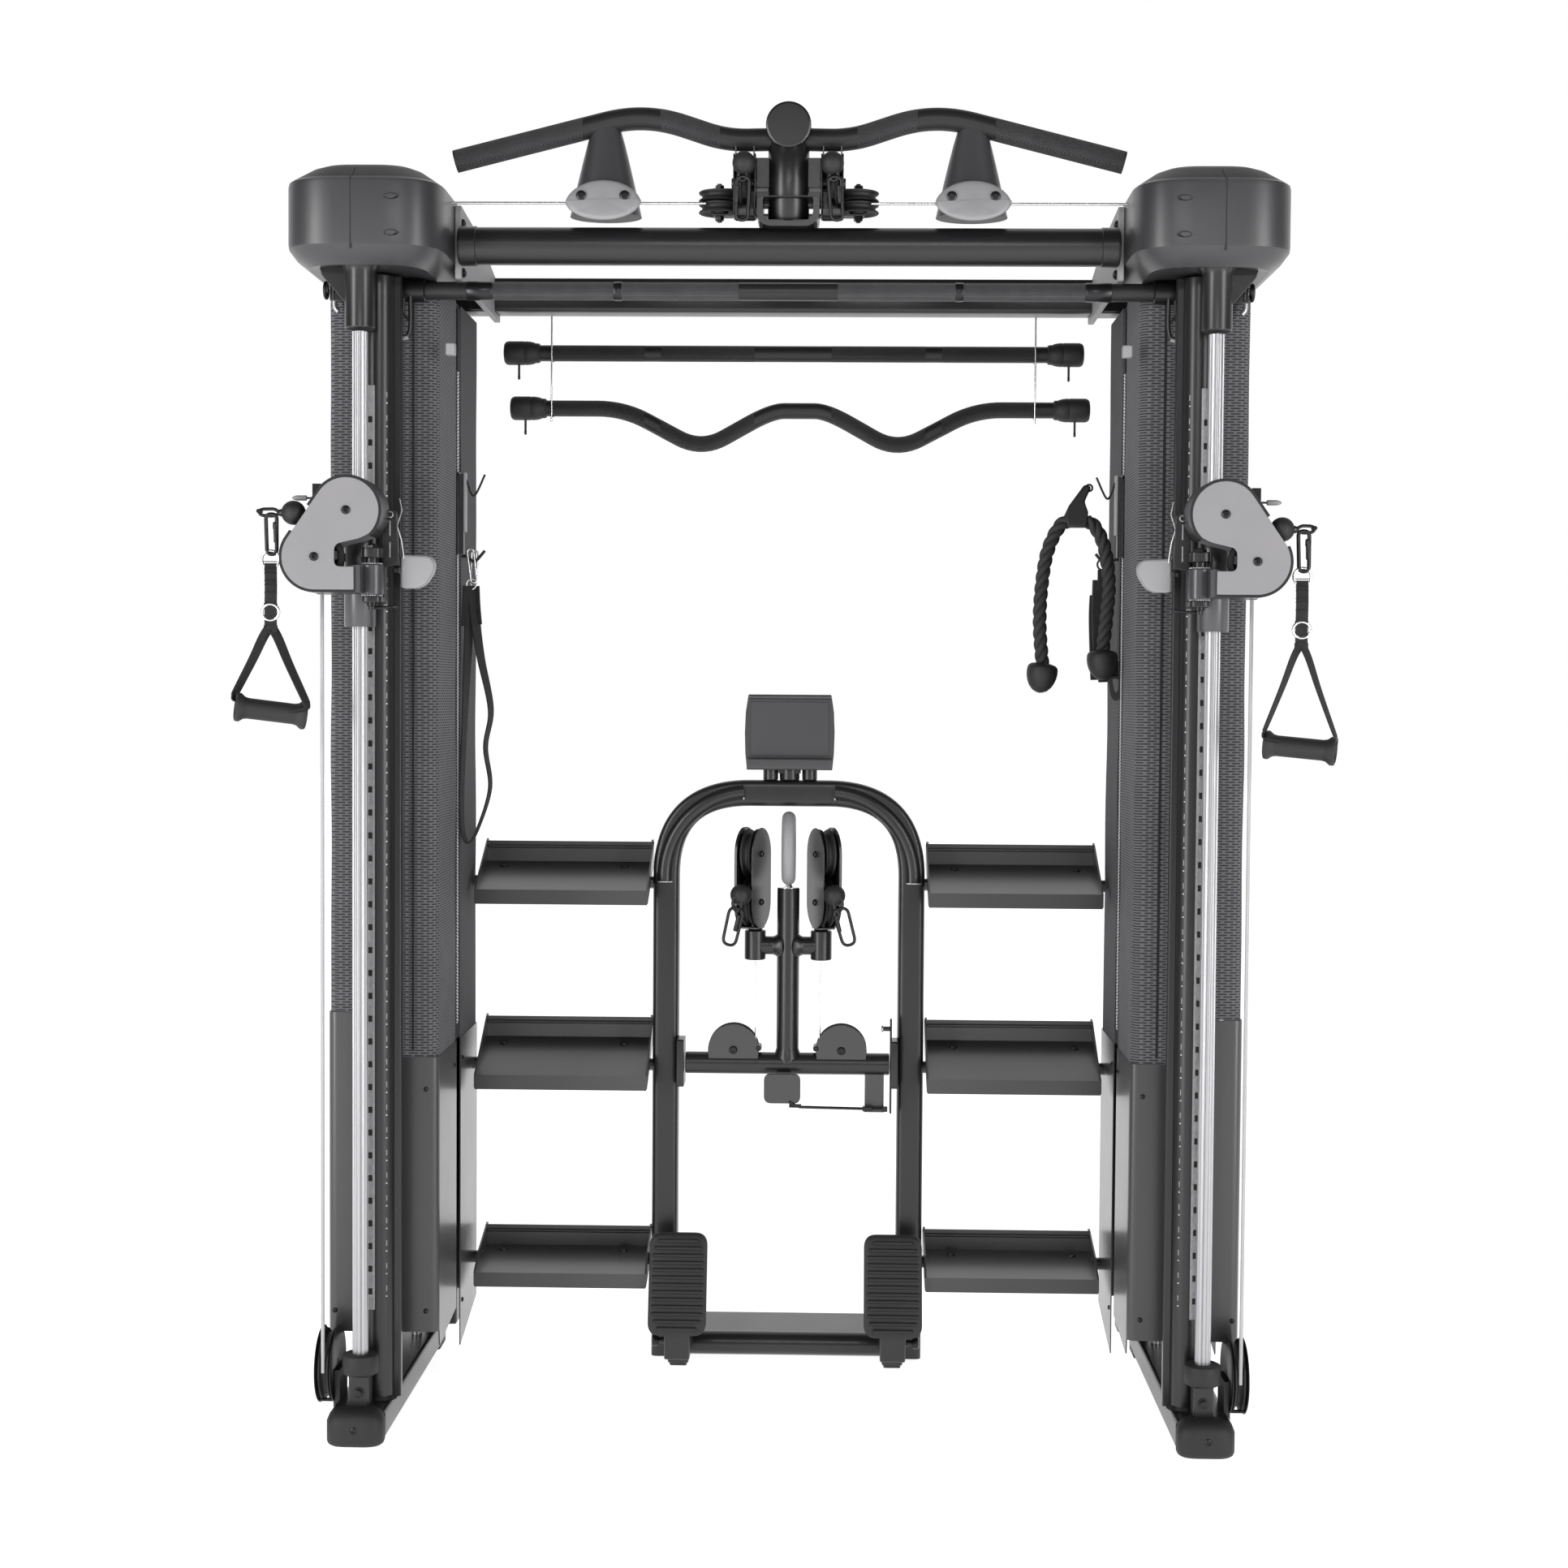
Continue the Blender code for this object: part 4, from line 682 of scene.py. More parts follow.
def mesh_covers(s, side):
    top, low = cover_high.z, cover_low.z
    front, rear = near(cover_low.y), near(cover_high.y)
    wrap, width = cloth_wrap(s, COVER_SPLIT[0], front, low, top, (STEP_X, STEP_TOP + 0.0005))
    cover = piece(f"{side}_front_mesh", [wrap], MESH, replaces=f"{side}_mesh_shroud", sharp=60)
    cut = (cover_high.x - STEP_X + COVER_SPLIT[0] - front) * (STEP_TOP - low)
    width * (top - low) - cut
    wrap, width = cloth_wrap(s, COVER_SPLIT[1], rear, low, top)
    back = piece(f"{side}_rear_mesh", [wrap], TWILL, sharp=60)
    y = sum(COVER_SPLIT) / 2
    for name, x, out, start in (("inner", cover_low.x, -s, low), ("outer", cover_high.x, s, STEP_TOP)):
        tape = box((s * x - out * 0.0025, COVER_SPLIT[0] - 0.004, start + 0.002),
                (s * x - out * 0.0012, COVER_SPLIT[1] + 0.004, top - 0.004))
        piece(f"{side}_zip_tape_{name}", [tape], TAPE, bevel=0.0003)
        teeth, z = [], start + 0.03
        while z < top - 0.10:
            if not GARAGE[0] < z < GARAGE[1] + 0.003:
                for edge, shift in ((-0.0026, 0.0), (0.0026, 0.0028)):
                    teeth.append(box((s * x - out * 0.0014, y + edge - 0.0026, z + shift - 0.0009),
                                     (s * x + out * 0.0004, y + edge + 0.0026, z + shift + 0.0009)))
            z += 0.0056
        piece(f"{side}_zip_teeth_{name}", teeth, TEETH)
        flaps = [box((s * x - out * 0.0012, COVER_SPLIT[0] + 0.010, a),
                (s * x + out * 0.0012, COVER_SPLIT[1] - 0.010, b))
                 for a, b in (GARAGE, (top - 0.115, top - 0.010))]
        piece(f"{side}_zip_garages_{name}", flaps, TAPE, bevel=0.0006)
    seams = [box((s * (x - 0.0016), front - 0.0016, low + 0.01), (s * (x + 0.0016), front + 0.001,
            top - 0.02)) for x in (0.612, 0.640)]
    piece(f"{side}_mesh_seams", seams, TAPE, bevel=0.0005)


def folded_steel(s, y_open, y_end, heights, step=None):
    """A U-shaped steel cover; heights gives its lower and upper edge at a place on the outline."""
    wall = 0.002
    way = math.copysign(wall, y_end - y_open)
    outer = u_outline(s, steel_low.x, steel_high.x, y_open, y_end, 0.016, step)
    inner = u_outline(s, steel_low.x + wall, steel_high.x - wall, y_open, y_end - way, 0.014, step)
    rings = []
    for a, b in zip(outer, inner):
        low, high = heights(abs(a.x), a.y)
        rings.append([(a.x, a.y, low), (a.x, a.y, high), (b.x, b.y, high), (b.x, b.y, low)])
    return skin(rings)


def steel_covers(s, side):
    front, split = near(steel_low.y), near(steel_high.y)
    rear, rear_split = near(rear_high.y), near(rear_low.y)

    def front_heights(x, y):
        side_wall = min(1.0, max(0.0, (y - front - 0.015) / 0.002))
        low = 0.140 - 0.056 * side_wall + (y - front) / (split - front) * 0.050 * side_wall
        return low, STEP_TOP if x > STEP_X else cover_low.z

    def rear_heights(x, y):
        return 0.0545 + 0.050 * max(0.0, (y - rear_split - 0.08) / (rear - rear_split - 0.08)), cover_low.z

    shell = folded_steel(s, split, front, front_heights, STEP_X)
    piece(f"{side}_front_steel_cover", [shell], STEEL, replaces=f"{side}_steel_cover_front", sharp=50)
    shell = folded_steel(s, rear_split, rear, rear_heights)
    piece(f"{side}_rear_steel_cover", [shell], STEEL, replaces=f"{side}_steel_cover_rear", sharp=50)
    screws = [socket_bolt((s * x, front, z), (0, -1, 0), 0.0042, 0.0022)
            for x, z in ((0.590, 0.545), (0.590, 0.175), (0.742, 0.175))]
    screws += [socket_bolt((s * steel_low.x, y, z), (-s, 0, 0), 0.0042, 0.0022)
               for y, z in ((split - 0.02, 0.560), (rear_split + 0.02, 0.560), (rear_split + 0.02, 0.13))]
    piece(f"{side}_cover_screws", screws, BOLT)
    liner = box((s * (steel_low.x + 0.006), split + 0.004, 0.16), (s * (steel_low.x + 0.010),
            rear_split - 0.004, cover_low.z - 0.002))
    piece(f"{side}_cover_liner", [liner], BLACK, bevel=0.0005)


def weight_stack(s, side):
    low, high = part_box(f"{side}_weight_stack")
    cx, y0, y1 = (low.x + high.x) / 2, near(low.y), near(high.y)
    count = 14
    pitch = 0.420 / count
    plates = [box((low.x, y0, low.z + pitch * i + 0.0006), (high.x, y1, low.z + pitch * (i + 1) - 0.0006))
            for i in range(count)]
    piece(f"{side}_stack_plates", plates, IRON, f"{side}_weight_stack", replaces=f"{side}_weight_stack",
            bevel=0.002)
    stem = turned((cx, 0.330, low.z + 0.418), (0, 0, 1), [(0, 0.012), (0.050, 0.012), (0.055, 0.008),
            (0.098, 0.008), (0.102, 0.006)], FINE)
    pin = rod((cx, y0 - 0.030, low.z + 0.345), (cx, y0 + 0.02, low.z + 0.345), 0.004, WIRE)
    knob = ball((cx, y0 - 0.034, low.z + 0.345), 0.010)
    piece(f"{side}_stack_stem", [stem, pin, knob], BOLT, f"{side}_weight_stack")


def foot(s, side):
    mid, half = s * (ROD_X + 0.001), 0.045
    back = near(foot_high.y)
    outline = flat([(mid - half, 0.005), (mid + half, 0.005), (mid + half, 0.050), (mid - half, 0.050)],
            0.008, 4)
    tube = slab(outline, "y", -0.018, back)
    piece(f"{side}_foot_tube", [tube], BLACK, replaces=f"{side}_base_foot", bevel=0.001)
    front = near(foot_low.y)
    rings = []
    for z, inset in ((0.0, 0.006), (0.003, 0.002), (0.008, 0.0), (0.040, 0.0), (0.050, 0.004),
            (0.0555, 0.014), (0.056, 0.020)):
        corners = [(mid - half - 0.001 + inset, front + 0.050), (mid - half - 0.001 + inset, front + inset),
                   (mid + half + 0.001 - inset, front + inset), (mid + half + 0.001 - inset, front + 0.050)]
        rings.append([(p.x, p.y, z) for p in rounded(corners, 0.030 - inset * 0.5, 8)])
    rings = [[(x, min(y, front + 0.044), z) for x, y, z in one] for one in rings]
    piece(f"{side}_foot_cap", [skin(rings)], RUBBER, sharp=50)
    piece(f"{side}_foot_cap_screw", [socket_bolt((mid + 0.001, front + 0.001, 0.028), (0, -1, 0), 0.0062,
            0.003)], BOLT)
    pad = box((mid - half, back - 0.060, 0), (mid + half, back + 0.0005, 0.016))
    piece(f"{side}_rear_pad", [pad], RUBBER, bevel=0.004)
    x = s * ROD_X
    socket = box((x - 0.016, -0.016, 0.046), (x + 0.016, 0.016, 0.1046))
    base = box((x - 0.020, -0.020, 0.0485), (x + 0.020, 0.020, 0.053))
    piece(f"{side}_rod_socket", [socket, base], BLACK, bevel=0.003)
    nut = [turned((x, -0.0162, 0.078), (0, -1, 0), [(0, 0.0085), (0.002, 0.0085), (0.002, 0.006),
            (0.0055, 0.006), (0.006, 0.004)], FINE)]
    piece(f"{side}_rod_socket_bolt", nut, BOLT)
    boss = turned((s * POST_X, POST_Y, 0.0485), (0, 0, 1), [(0, POST_R + 0.005), (0.003, POST_R + 0.003),
            (0.007, POST_R + 0.0004)])
    piece(f"{side}_post_weld", [boss], BLACK)
    centre = s * PULLEY.x, near(PULLEY.y), PULLEY.z
    cheeks = []
    for a in (-0.0135, 0.0115):
        cheeks.append(turned((centre[0] + s * a, centre[1], centre[2]), (s, 0, 0),
                             [(0, PULLEY_R + 0.003), (0.0006, PULLEY_R + 0.004), (0.0016, PULLEY_R + 0.004),
                             (0.002, PULLEY_R + 0.003)], 56))
    inner = box((mid + s * (half - 0.006), centre[1] - 0.030, 0.020), (centre[0] - s * 0.0118, centre[1]
            + 0.030, 0.100))
    bar = rod((centre[0] - s * 0.012, centre[1] - 0.026, centre[2] - 0.052),
            (centre[0] + s * 0.0125, centre[1] - 0.026, centre[2] - 0.052), 0.003, WIRE)
    piece(f"{side}_pulley_guards", [*cheeks, inner], BLACK, sharp=50)
    axle = turned((centre[0] - s * 0.014, centre[1], centre[2]), (s, 0, 0), [(0, 0.0078), (0.0278, 0.0078),
            (0.028, 0.011), (0.033, 0.011), (0.034, 0.009)], FINE)
    piece(f"{side}_pulley_axle", [axle, bar], BOLT)
    rods = [rod((s * 0.6615, y, 0.045), (s * 0.6615, y, 1.858), 0.0095, FINE) for y in (0.230, 0.430)]
    piece(f"{side}_stack_rods", rods, BRIGHT)


def grooved_wheel(centre, axis, radius, half=0.010, depth=0.007, bore=0.0088):
    rim = half * 0.92
    profile = [(-half, bore), (-half, radius * 0.38), (-rim * 0.5, radius * 0.45),
            (-rim * 0.5, radius * 0.72), (-rim, radius * 0.84),
               (-rim, radius - 0.0012), (-rim * 0.86, radius), (-rim * 0.60, radius - 0.001)]
    profile += [(-0.6 * rim * math.cos(math.pi * k / 8), radius - 0.001 - depth * math.sin(math.pi * k / 8))
            for k in range(1, 8)]
    profile += [(-h, r) for h, r in profile[7::-1]]
    axis = Vector(axis).normalized()
    return skin([circle(Vector(centre) + axis * h, axis, r, 56) for h, r in profile], closed=True)


def wheels(s, side):
    centre = (s * PULLEY.x, near(PULLEY.y), PULLEY.z)
    piece(f"{side}_bottom_wheel", [grooved_wheel(centre, (1, 0, 0), PULLEY_R)], RUBBER,
            f"{side}_bottom_pulley", replaces=f"{side}_bottom_pulley")
    for name in ("upper", "lower"):
        mid = middle(f"{side}_arm_pulley_{name}")
        wheel = grooved_wheel((mid.x, near(mid.y), mid.z), (0, 1, 0), 0.041)
        piece(f"{side}_arm_wheel_{name}", [wheel], RUBBER, f"{side}_arm_pulley_{name}",
                replaces=f"{side}_arm_pulley_{name}")
    mid = middle(f"top_pulley_{side}")
    wheel = grooved_wheel((mid.x, near(mid.y), mid.z), (1, 0, 0), 0.033, 0.009, 0.006, 0.0058)
    piece(f"{side}_top_wheel", [wheel], RUBBER, f"{side}_top_pulley", replaces=f"top_pulley_{side}")


def tower_cable(s, side):
    """The cable beside the front post: one straight strand over the CAD cable's height, fixed to no body."""
    low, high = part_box(f"{side}_tower_cable")
    x, y = (low.x + high.x) / 2, near((low.y + high.y) / 2)
    strand = sweep([(x, y, low.z + (high.z - low.z) * i / 60) for i in range(61)], 0.0030, WIRE)
    cable = piece(f"{side}_cable_run", [strand], CABLE, None, replaces=f"{side}_tower_cable")
    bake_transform(cable)


# ---------------------------------------------------------------- carriages, arms and handles
def arm_outline(inset):
    """Edge of the right-hand arm plate: round the lower pulley, the upper pulley, the notch and the tongue."""
    radius = 0.055 - inset
    heading = math.degrees(math.atan2(UPPER[1] - LOWER[1], UPPER[0] - LOWER[0])) - 90
    start = 0.664
    points = [Vector((start, 1.354 + inset))]
    for centre, first, last in ((LOWER, -90, heading), (UPPER, heading, 224)):
        points += [Vector((p[0], p[2])) for p in arc((centre[0], 0, centre[1]), radius, first, last, "xz", 24)]
    corners = [points[-1], (0.654, 1.4335 + inset), (0.674, 1.4290 + inset), (0.690 + inset, 1.4240 + inset),
               (0.690 + inset, 1.3985 - inset), (start, 1.3985 - inset)]
    return points + bent(corners, 0.0095, 6)[1:]


BALL_AT = {"left": (0.762, 1.478), "right": (0.766, 1.460)}


def arm_rim(s, ball_at):
    """The dark band between the arm plates, open where the cable's ball stops."""
    outline = fine_path(arm_outline(0) + arm_outline(0)[:1], 0.004)[:-1]
    clear = [(p - Vector(ball_at)).length > 0.027 and not (p.x < 0.6895 and 1.398 < p.y < 1.441)
            for p in outline]
    first = next(i for i in range(len(outline)) if clear[i] and not clear[i - 1])
    bands = [[]]
    for i in [*range(first, len(outline)), *range(first)]:
        if clear[i]:
            bands[-1].append(outline[i])
        elif bands[-1]:
            bands.append([])
    strips = []
    for band in (band for band in bands if len(band) > 2):
        rings = []
        for i, p in enumerate(band):
            ahead = (band[min(i + 1, len(band) - 1)] - band[max(i - 1, 0)]).normalized()
            q = p - Vector((ahead.y, -ahead.x)) * 0.0058
            rings.append([(s * p.x, ARM_FRONT + 0.001, p.y), (s * p.x, ARM_BACK - 0.001, p.y),
                          (s * q.x, ARM_BACK - 0.001, q.y), (s * q.x, ARM_FRONT + 0.001, q.y)])
        strips.append(skin(rings))
    return strips


def swivel_arm(s, side):
    body = f"{side}_arm"
    plate = [(s * p.x, p.y) for p in arm_outline(0.0044)]
    plates = [slab(plate, "y", ARM_FRONT, ARM_FRONT + 0.004), slab(plate, "y", ARM_BACK - 0.004, ARM_BACK)]
    piece(f"{side}_arm_plates", plates, PLATE_GREY, body, replaces=f"{side}_swivel_arm", bevel=0.0008)
    piece(f"{side}_arm_rim", arm_rim(s, BALL_AT[side]), BLACK, body, bevel=0.0008)
    bolts = []
    for x, z in (UPPER, LOWER):
        for y, way in ((ARM_FRONT, -1), (ARM_BACK, 1)):
            bolts += [socket_bolt((s * x, y, z), (0, way, 0), 0.0068, 0.0036)]
        bolts.append(rod((s * x, ARM_FRONT + 0.001, z), (s * x, ARM_BACK - 0.001, z), 0.0055, FINE))
    piece(f"{side}_arm_bolts", bolts, BOLT, body)
    x, y = s * BARREL.x, BARREL.y
    barrel = turned((x, y, 1.3525), (0, 0, 1), [(0, 0.0168), (0.0012, 0.018), (0.0458, 0.018),
            (0.047, 0.0168)])
    web = box((s * (BARREL.x + 0.010), ARM_FRONT + 0.004, 1.3545), (s * (BARREL.x + 0.024), ARM_BACK - 0.004,
            1.3965))
    piece(f"{side}_arm_barrel", [barrel, web], SATIN, body, sharp=40)
    beads = [ball((x + 0.0150 * math.cos(t), y + 0.0150 * math.sin(t), z), 0.0017, sides=8)
             for z in (1.3515, 1.4010) for t in (2 * math.pi * k / 24 for k in range(24))]
    washers = [turned((x, y, z), (0, 0, 1), [(0, 0.0140), (0.0016, 0.0140)]) for z in (1.3508, 1.4000)]
    spacer = turned((x, y, 1.4016), (0, 0, 1), [(0, 0.0112), (0.0080, 0.0112)])
    piece(f"{side}_arm_spacer", [spacer], BOLT, body)
    piece(f"{side}_arm_bearing", [*beads, *washers], BRIGHT, body)
    z = 1.502
    stem = rod((s * 0.732, ARM_Y + 0.012, z), (s * 0.748, ARM_Y + 0.012, z), 0.0016, WIRE)
    tab = box((s * 0.722, ARM_Y + 0.006, z - 0.004), (s * 0.735, ARM_Y + 0.018, z + 0.022))
    piece(f"{side}_arm_pin_stem", [stem, tab], BOLT, body)
    grip = turned((s * 0.745, ARM_Y + 0.012, z), (s, 0, 0), [(0, 0.0036), (0.001, 0.0042), (0.015, 0.0042),
            (0.020, 0.0030), (0.0225, 0.0014)], FINE)
    piece(f"{side}_arm_pin_grip", [grip], LIGHT, body)


def carriage(s, side):
    body = f"{side}_carriage"
    low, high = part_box(body)
    x = s * ROD_X
    sleeve = skin([circle((x, 0, z), (0, 0, 1), r) for z, r in
                   ((low.z, 0.0165), (low.z, 0.0238), (low.z + 0.0015, 0.025), (high.z - 0.0015, 0.025),
                   (high.z, 0.0238), (high.z, 0.0165))], closed=True)
    piece(f"{side}_carriage_sleeve", [sleeve], SATIN, body, replaces=body, sharp=40)
    bx, by = s * BARREL.x, BARREL.y
    lugs = []
    for z0, z1 in ((1.3405, 1.3500), (1.4100, 1.4255)):
        plan = flat([(bx - s * 0.017, by - 0.016), (bx + s * 0.016, by - 0.016), (bx + s * 0.016, -0.012),
                (bx - s * 0.017, -0.012)], 0.013, 6)
        lugs.append(slab(plan, "z", z0, z1))
    lugs.append(box((bx - s * 0.014, -0.024, 1.3405), (x - s * 0.012, -0.006, 1.4255)))
    plate = flat([(s * 0.606, 1.402), (s * 0.634, 1.396), (s * 0.634, 1.470), (s * 0.622, 1.489),
            (s * 0.610, 1.486)], 0.006, 4)
    lugs.append(slab(plate, "y", -0.036, -0.030))
    lugs.append(box((s * 0.606, -0.031, 1.400), (s * 0.634, -0.006, 1.414)))
    lugs.append(box((s * 0.628, -0.034, 1.412), (s * 0.634, -0.004, 1.468)))
    piece(f"{side}_carriage_bracket", lugs, BLACK, body, bevel=0.0012)
    cable_y = depth_of(f"{side}_tower_cable")
    shelf = box((s * (ROD_X + 0.018), cable_y - 0.008, 1.3552), (s * (PULLEY.x + 0.008), cable_y + 0.008,
            1.372))
    piece(f"{side}_cable_bracket", [shelf], BLACK, body, bevel=0.002)
    slots = [box((s * 0.6195, -0.0366, a), (s * 0.6215, -0.0355, b))
            for a, b in ((1.412, 1.436), (1.446, 1.470))]
    eye = ring((s * 0.6205, -0.0366, 1.4795), 0.0045, 0.0012)
    piece(f"{side}_bracket_slots", [*slots, eye], STRIP, body)
    spindle = [turned((bx, by, 1.4255), (0, 0, 1), [(0, 0.0105), (0.004, 0.0105), (0.0045, 0.0095),
            (0.0045, 0.0062), (0.007, 0.0058)], 6)]
    spindle.append(turned((bx, by, 1.3405), (0, 0, -1), [(0, 0.0085), (0.005, 0.0085), (0.006, 0.0060),
            (0.011, 0.0056)], FINE))
    lever = sweep([(bx + s * 0.004, by + 0.004, 1.333), (bx - s * 0.012, by + 0.004, 1.3325),
            (bx - s * 0.034, by + 0.006, 1.3345)], 0.0021)
    knob = ball((bx - s * 0.036, by + 0.006, 1.3347), 0.0036, sides=WIRE)
    piece(f"{side}_carriage_bolt", [*spindle, lever, knob], BOLT, body)
    loops = sweep([(s * 0.607, -0.030, 1.505), (s * 0.603, -0.031, 1.486), (s * 0.610, -0.034, 1.462),
            (s * 0.604, -0.030, 1.440),
                   (s * 0.600, -0.024, 1.405)], 0.0012, 8)
    piece(f"{side}_release_wire", [loops], CHROME, body)


def height_lever(s, side):
    """Pale rounded paddle beside the carriage."""
    body = f"{side}_height_lever"
    low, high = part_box(body)
    hinge_y, pz = near((low.y + high.y) / 2), 1.393
    half, top, bottom = 0.0125, 0.0245, -0.0285
    outline = flat([(s * 0.6060, pz + top), (s * 0.5600, pz + top - 0.002), (s * 0.5520, pz + 0.012),
            (s * 0.5540, pz - 0.002),
                    (s * 0.5650, pz - 0.020), (s * 0.5780, pz + bottom), (s * 0.6060, pz + bottom)], 0.006, 5)
    paddle = slab(outline, "y", hinge_y - half, hinge_y + half)
    piece(f"{side}_lever_paddle", [paddle], LIGHT, body, replaces=body, bevel=0.0035, sharp=30, segments=3)
    hub = rod((s * 0.606, hinge_y - 0.012, pz), (s * 0.606, hinge_y + 0.012, pz), 0.0062, FINE)
    neck = box((s * 0.600, hinge_y - 0.006, pz - 0.0035), (s * 0.618, hinge_y + 0.006, pz + 0.0035))
    piece(f"{side}_lever_hub", [hub, neck], STEEL, body, bevel=0.001)


def cable_end(s, side):
    body = f"{side}_cable_end"
    low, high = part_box(body)
    x, y, z = (low.x if s > 0 else high.x) + s * 0.019, ARM_Y, (low.z + high.z) / 2
    piece(f"{side}_ball_stop", [ball((x, y, z), 0.019, (1, 0, 0), TUBE)], RUBBER, body, replaces=body)
    collar = turned((x + s * 0.0165, y, z), (s, 0, 0), [(0, 0.0065), (0.005, 0.0055), (0.0075, 0.0042)], FINE)
    a, b = x + s * 0.022, s * 0.818
    loop = [(a, z + 0.001), (a + s * 0.008, z + 0.006), (b - s * 0.006, z + 0.0055), (b, z + 0.002),
            (b - s * 0.004, z - 0.004),
            (a + s * 0.010, z - 0.0055), (a, z - 0.001)]
    shackle = sweep([(p.x, y, p.y) for p in rounded(loop, 0.004, 4)], 0.0026, WIRE, closed=True)
    pin = rod((b - s * 0.002, y - 0.009, z + 0.002), (b - s * 0.002, y + 0.009, z + 0.002), 0.0034, WIRE)
    piece(f"{side}_shackle", [collar, shackle, pin], BOLT, body)
    return x, z


def stitched(x, y, z, width):
    """Box-stitched fold of a strap."""
    return [box((x - width / 2, y - 0.0036, z + dz), (x + width / 2, y + 0.0036, z + dz + 0.0010))
            for dz in (0, 0.012)]


GRIP_LEAN = {"left": -7, "right": -5}     # degrees


def handle(s, side):
    body = f"{side}_handle"
    low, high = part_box(body)
    x, y, top = s * 0.799, ARM_Y, high.z
    grip_z = low.z + 0.0225
    hook_top = top + 0.004
    clip = carabiner((x, y, hook_top), 0.062, 0.0195, 0.0031)
    gate = rod((x + 0.0075, y, hook_top - 0.012), (x + 0.0085, y, hook_top - 0.044), 0.0034, WIRE)
    nose = turned((x + 0.0078, y, hook_top - 0.012), (0, 0, -1), [(0, 0.0030), (0.002, 0.0042),
            (0.010, 0.0042), (0.012, 0.0030)], WIRE)
    piece(f"{side}_handle_clip", [clip, gate, nose], BOLT, body)
    eye_z = hook_top - 0.070
    second_z = eye_z - 0.082
    dee = arc((x, y, eye_z), 0.0135, -22, 202, "xz", 18) + [(x - 0.0115, y, eye_z - 0.009),
            (x + 0.0115, y, eye_z - 0.009)]
    rings = [sweep(dee, 0.0021, WIRE, closed=True), ring((x, y - 0.002, second_z), 0.0132, 0.0023, "xz", 0.95)]
    piece(f"{side}_handle_rings", rings, CHROME, body)
    strap_low = second_z - 0.026
    web = [ribbon([(x, y, eye_z - 0.006), (x, y, eye_z - 0.010), (x + 0.0005, y, (eye_z + second_z) / 2),
            (x, y, second_z + 0.004), (x, y, strap_low)], 0.0185, 0.0042, (1, 0, 0))]
    for dz in (-0.016, -0.034, -0.052):
        web += stitched(x, y, eye_z + dz, 0.0190)
    web.append(box((x - 0.0098, y - 0.0034, second_z + 0.008), (x + 0.0098, y + 0.0034, second_z + 0.014)))
    web.append(box((x - 0.0100, y - 0.0036, strap_low - 0.006), (x + 0.0100, y + 0.0036, strap_low + 0.006)))
    lean = math.radians(GRIP_LEAN[side])
    half = 0.055
    for way in (-1, 1):
        end = Vector((x + way * (half - 0.004) * math.cos(lean), y, grip_z
                + way * (half - 0.004) * math.sin(lean)))
        start = Vector((x + way * 0.0035, y, strap_low))
        above = end + Vector((way * 0.002, 0, 0.027))
        path = [start, start.lerp(above, 0.15) + Vector((way * 0.0015, 0, 0)), start.lerp(above, 0.5), above,
                end + Vector((way * 0.0055, 0, 0.019)),
                end + Vector((way * 0.004, 0, 0.010)), end - Vector((way * 0.020, 0, -0.006))]
        web.append(ribbon(fine_bend(path), 0.0165, 0.0022, ((0.80, 0.60, 0), (0.10, 0.99, 0))))
    piece(f"{side}_handle_webbing", web, WEB, body, bevel=0.0006)
    profile = [(-half, 0.0185), (-half + 0.001, 0.0215), (-half + 0.004, 0.0225), (-half + 0.008, 0.0222),
            (-half + 0.014, 0.0175), (-half + 0.020, 0.0162),
               (half - 0.020, 0.0162), (half - 0.014, 0.0175), (half - 0.008, 0.0222), (half - 0.004, 0.0225),
               (half - 0.001, 0.0215), (half, 0.0185),
               (half - 0.003, 0.0145), (half - 0.012, 0.0128), (-half + 0.012, 0.0128),
               (-half + 0.003, 0.0145)]
    axis = Vector((math.cos(lean) * math.cos(0.32), -s * math.sin(0.32), math.sin(lean)))
    grip = skin([circle(Vector((x, y, grip_z)) + axis * h, axis, r) for h, r in profile], closed=True)
    piece(f"{side}_handle_grip", [grip], RUBBER, body, replaces=body, sharp=50)


def fine_bend(points, steps=6):
    """A smooth curve through the given points."""
    points = [Vector(p) for p in points]
    out = []
    for i in range(len(points) - 1):
        a, b, c, d = points[max(i - 1, 0)], points[i], points[i + 1], points[min(i + 2, len(points) - 1)]
        for k in range(steps):
            t = k / steps
            square, cube = 2 * a - 5 * b + 4 * c - d, 3 * b - a - 3 * c + d
            out.append(0.5 * (2 * b + (c - a) * t + square * t * t + cube * t ** 3))
    return out + [points[-1]]


# ---------------------------------------------------------------- top of the machine
beam_low, beam_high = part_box("front_beam")
BEAM_R, HANGER_X = 0.030, 0.438
STRAIGHT_Z, CURL_Z = 1.820, 1.720
BEAM_Y, BEAM_Z = near((beam_low.y + beam_high.y) / 2), beam_low.z + BEAM_R
BAR_Y = depth_of("pull_up_bar")


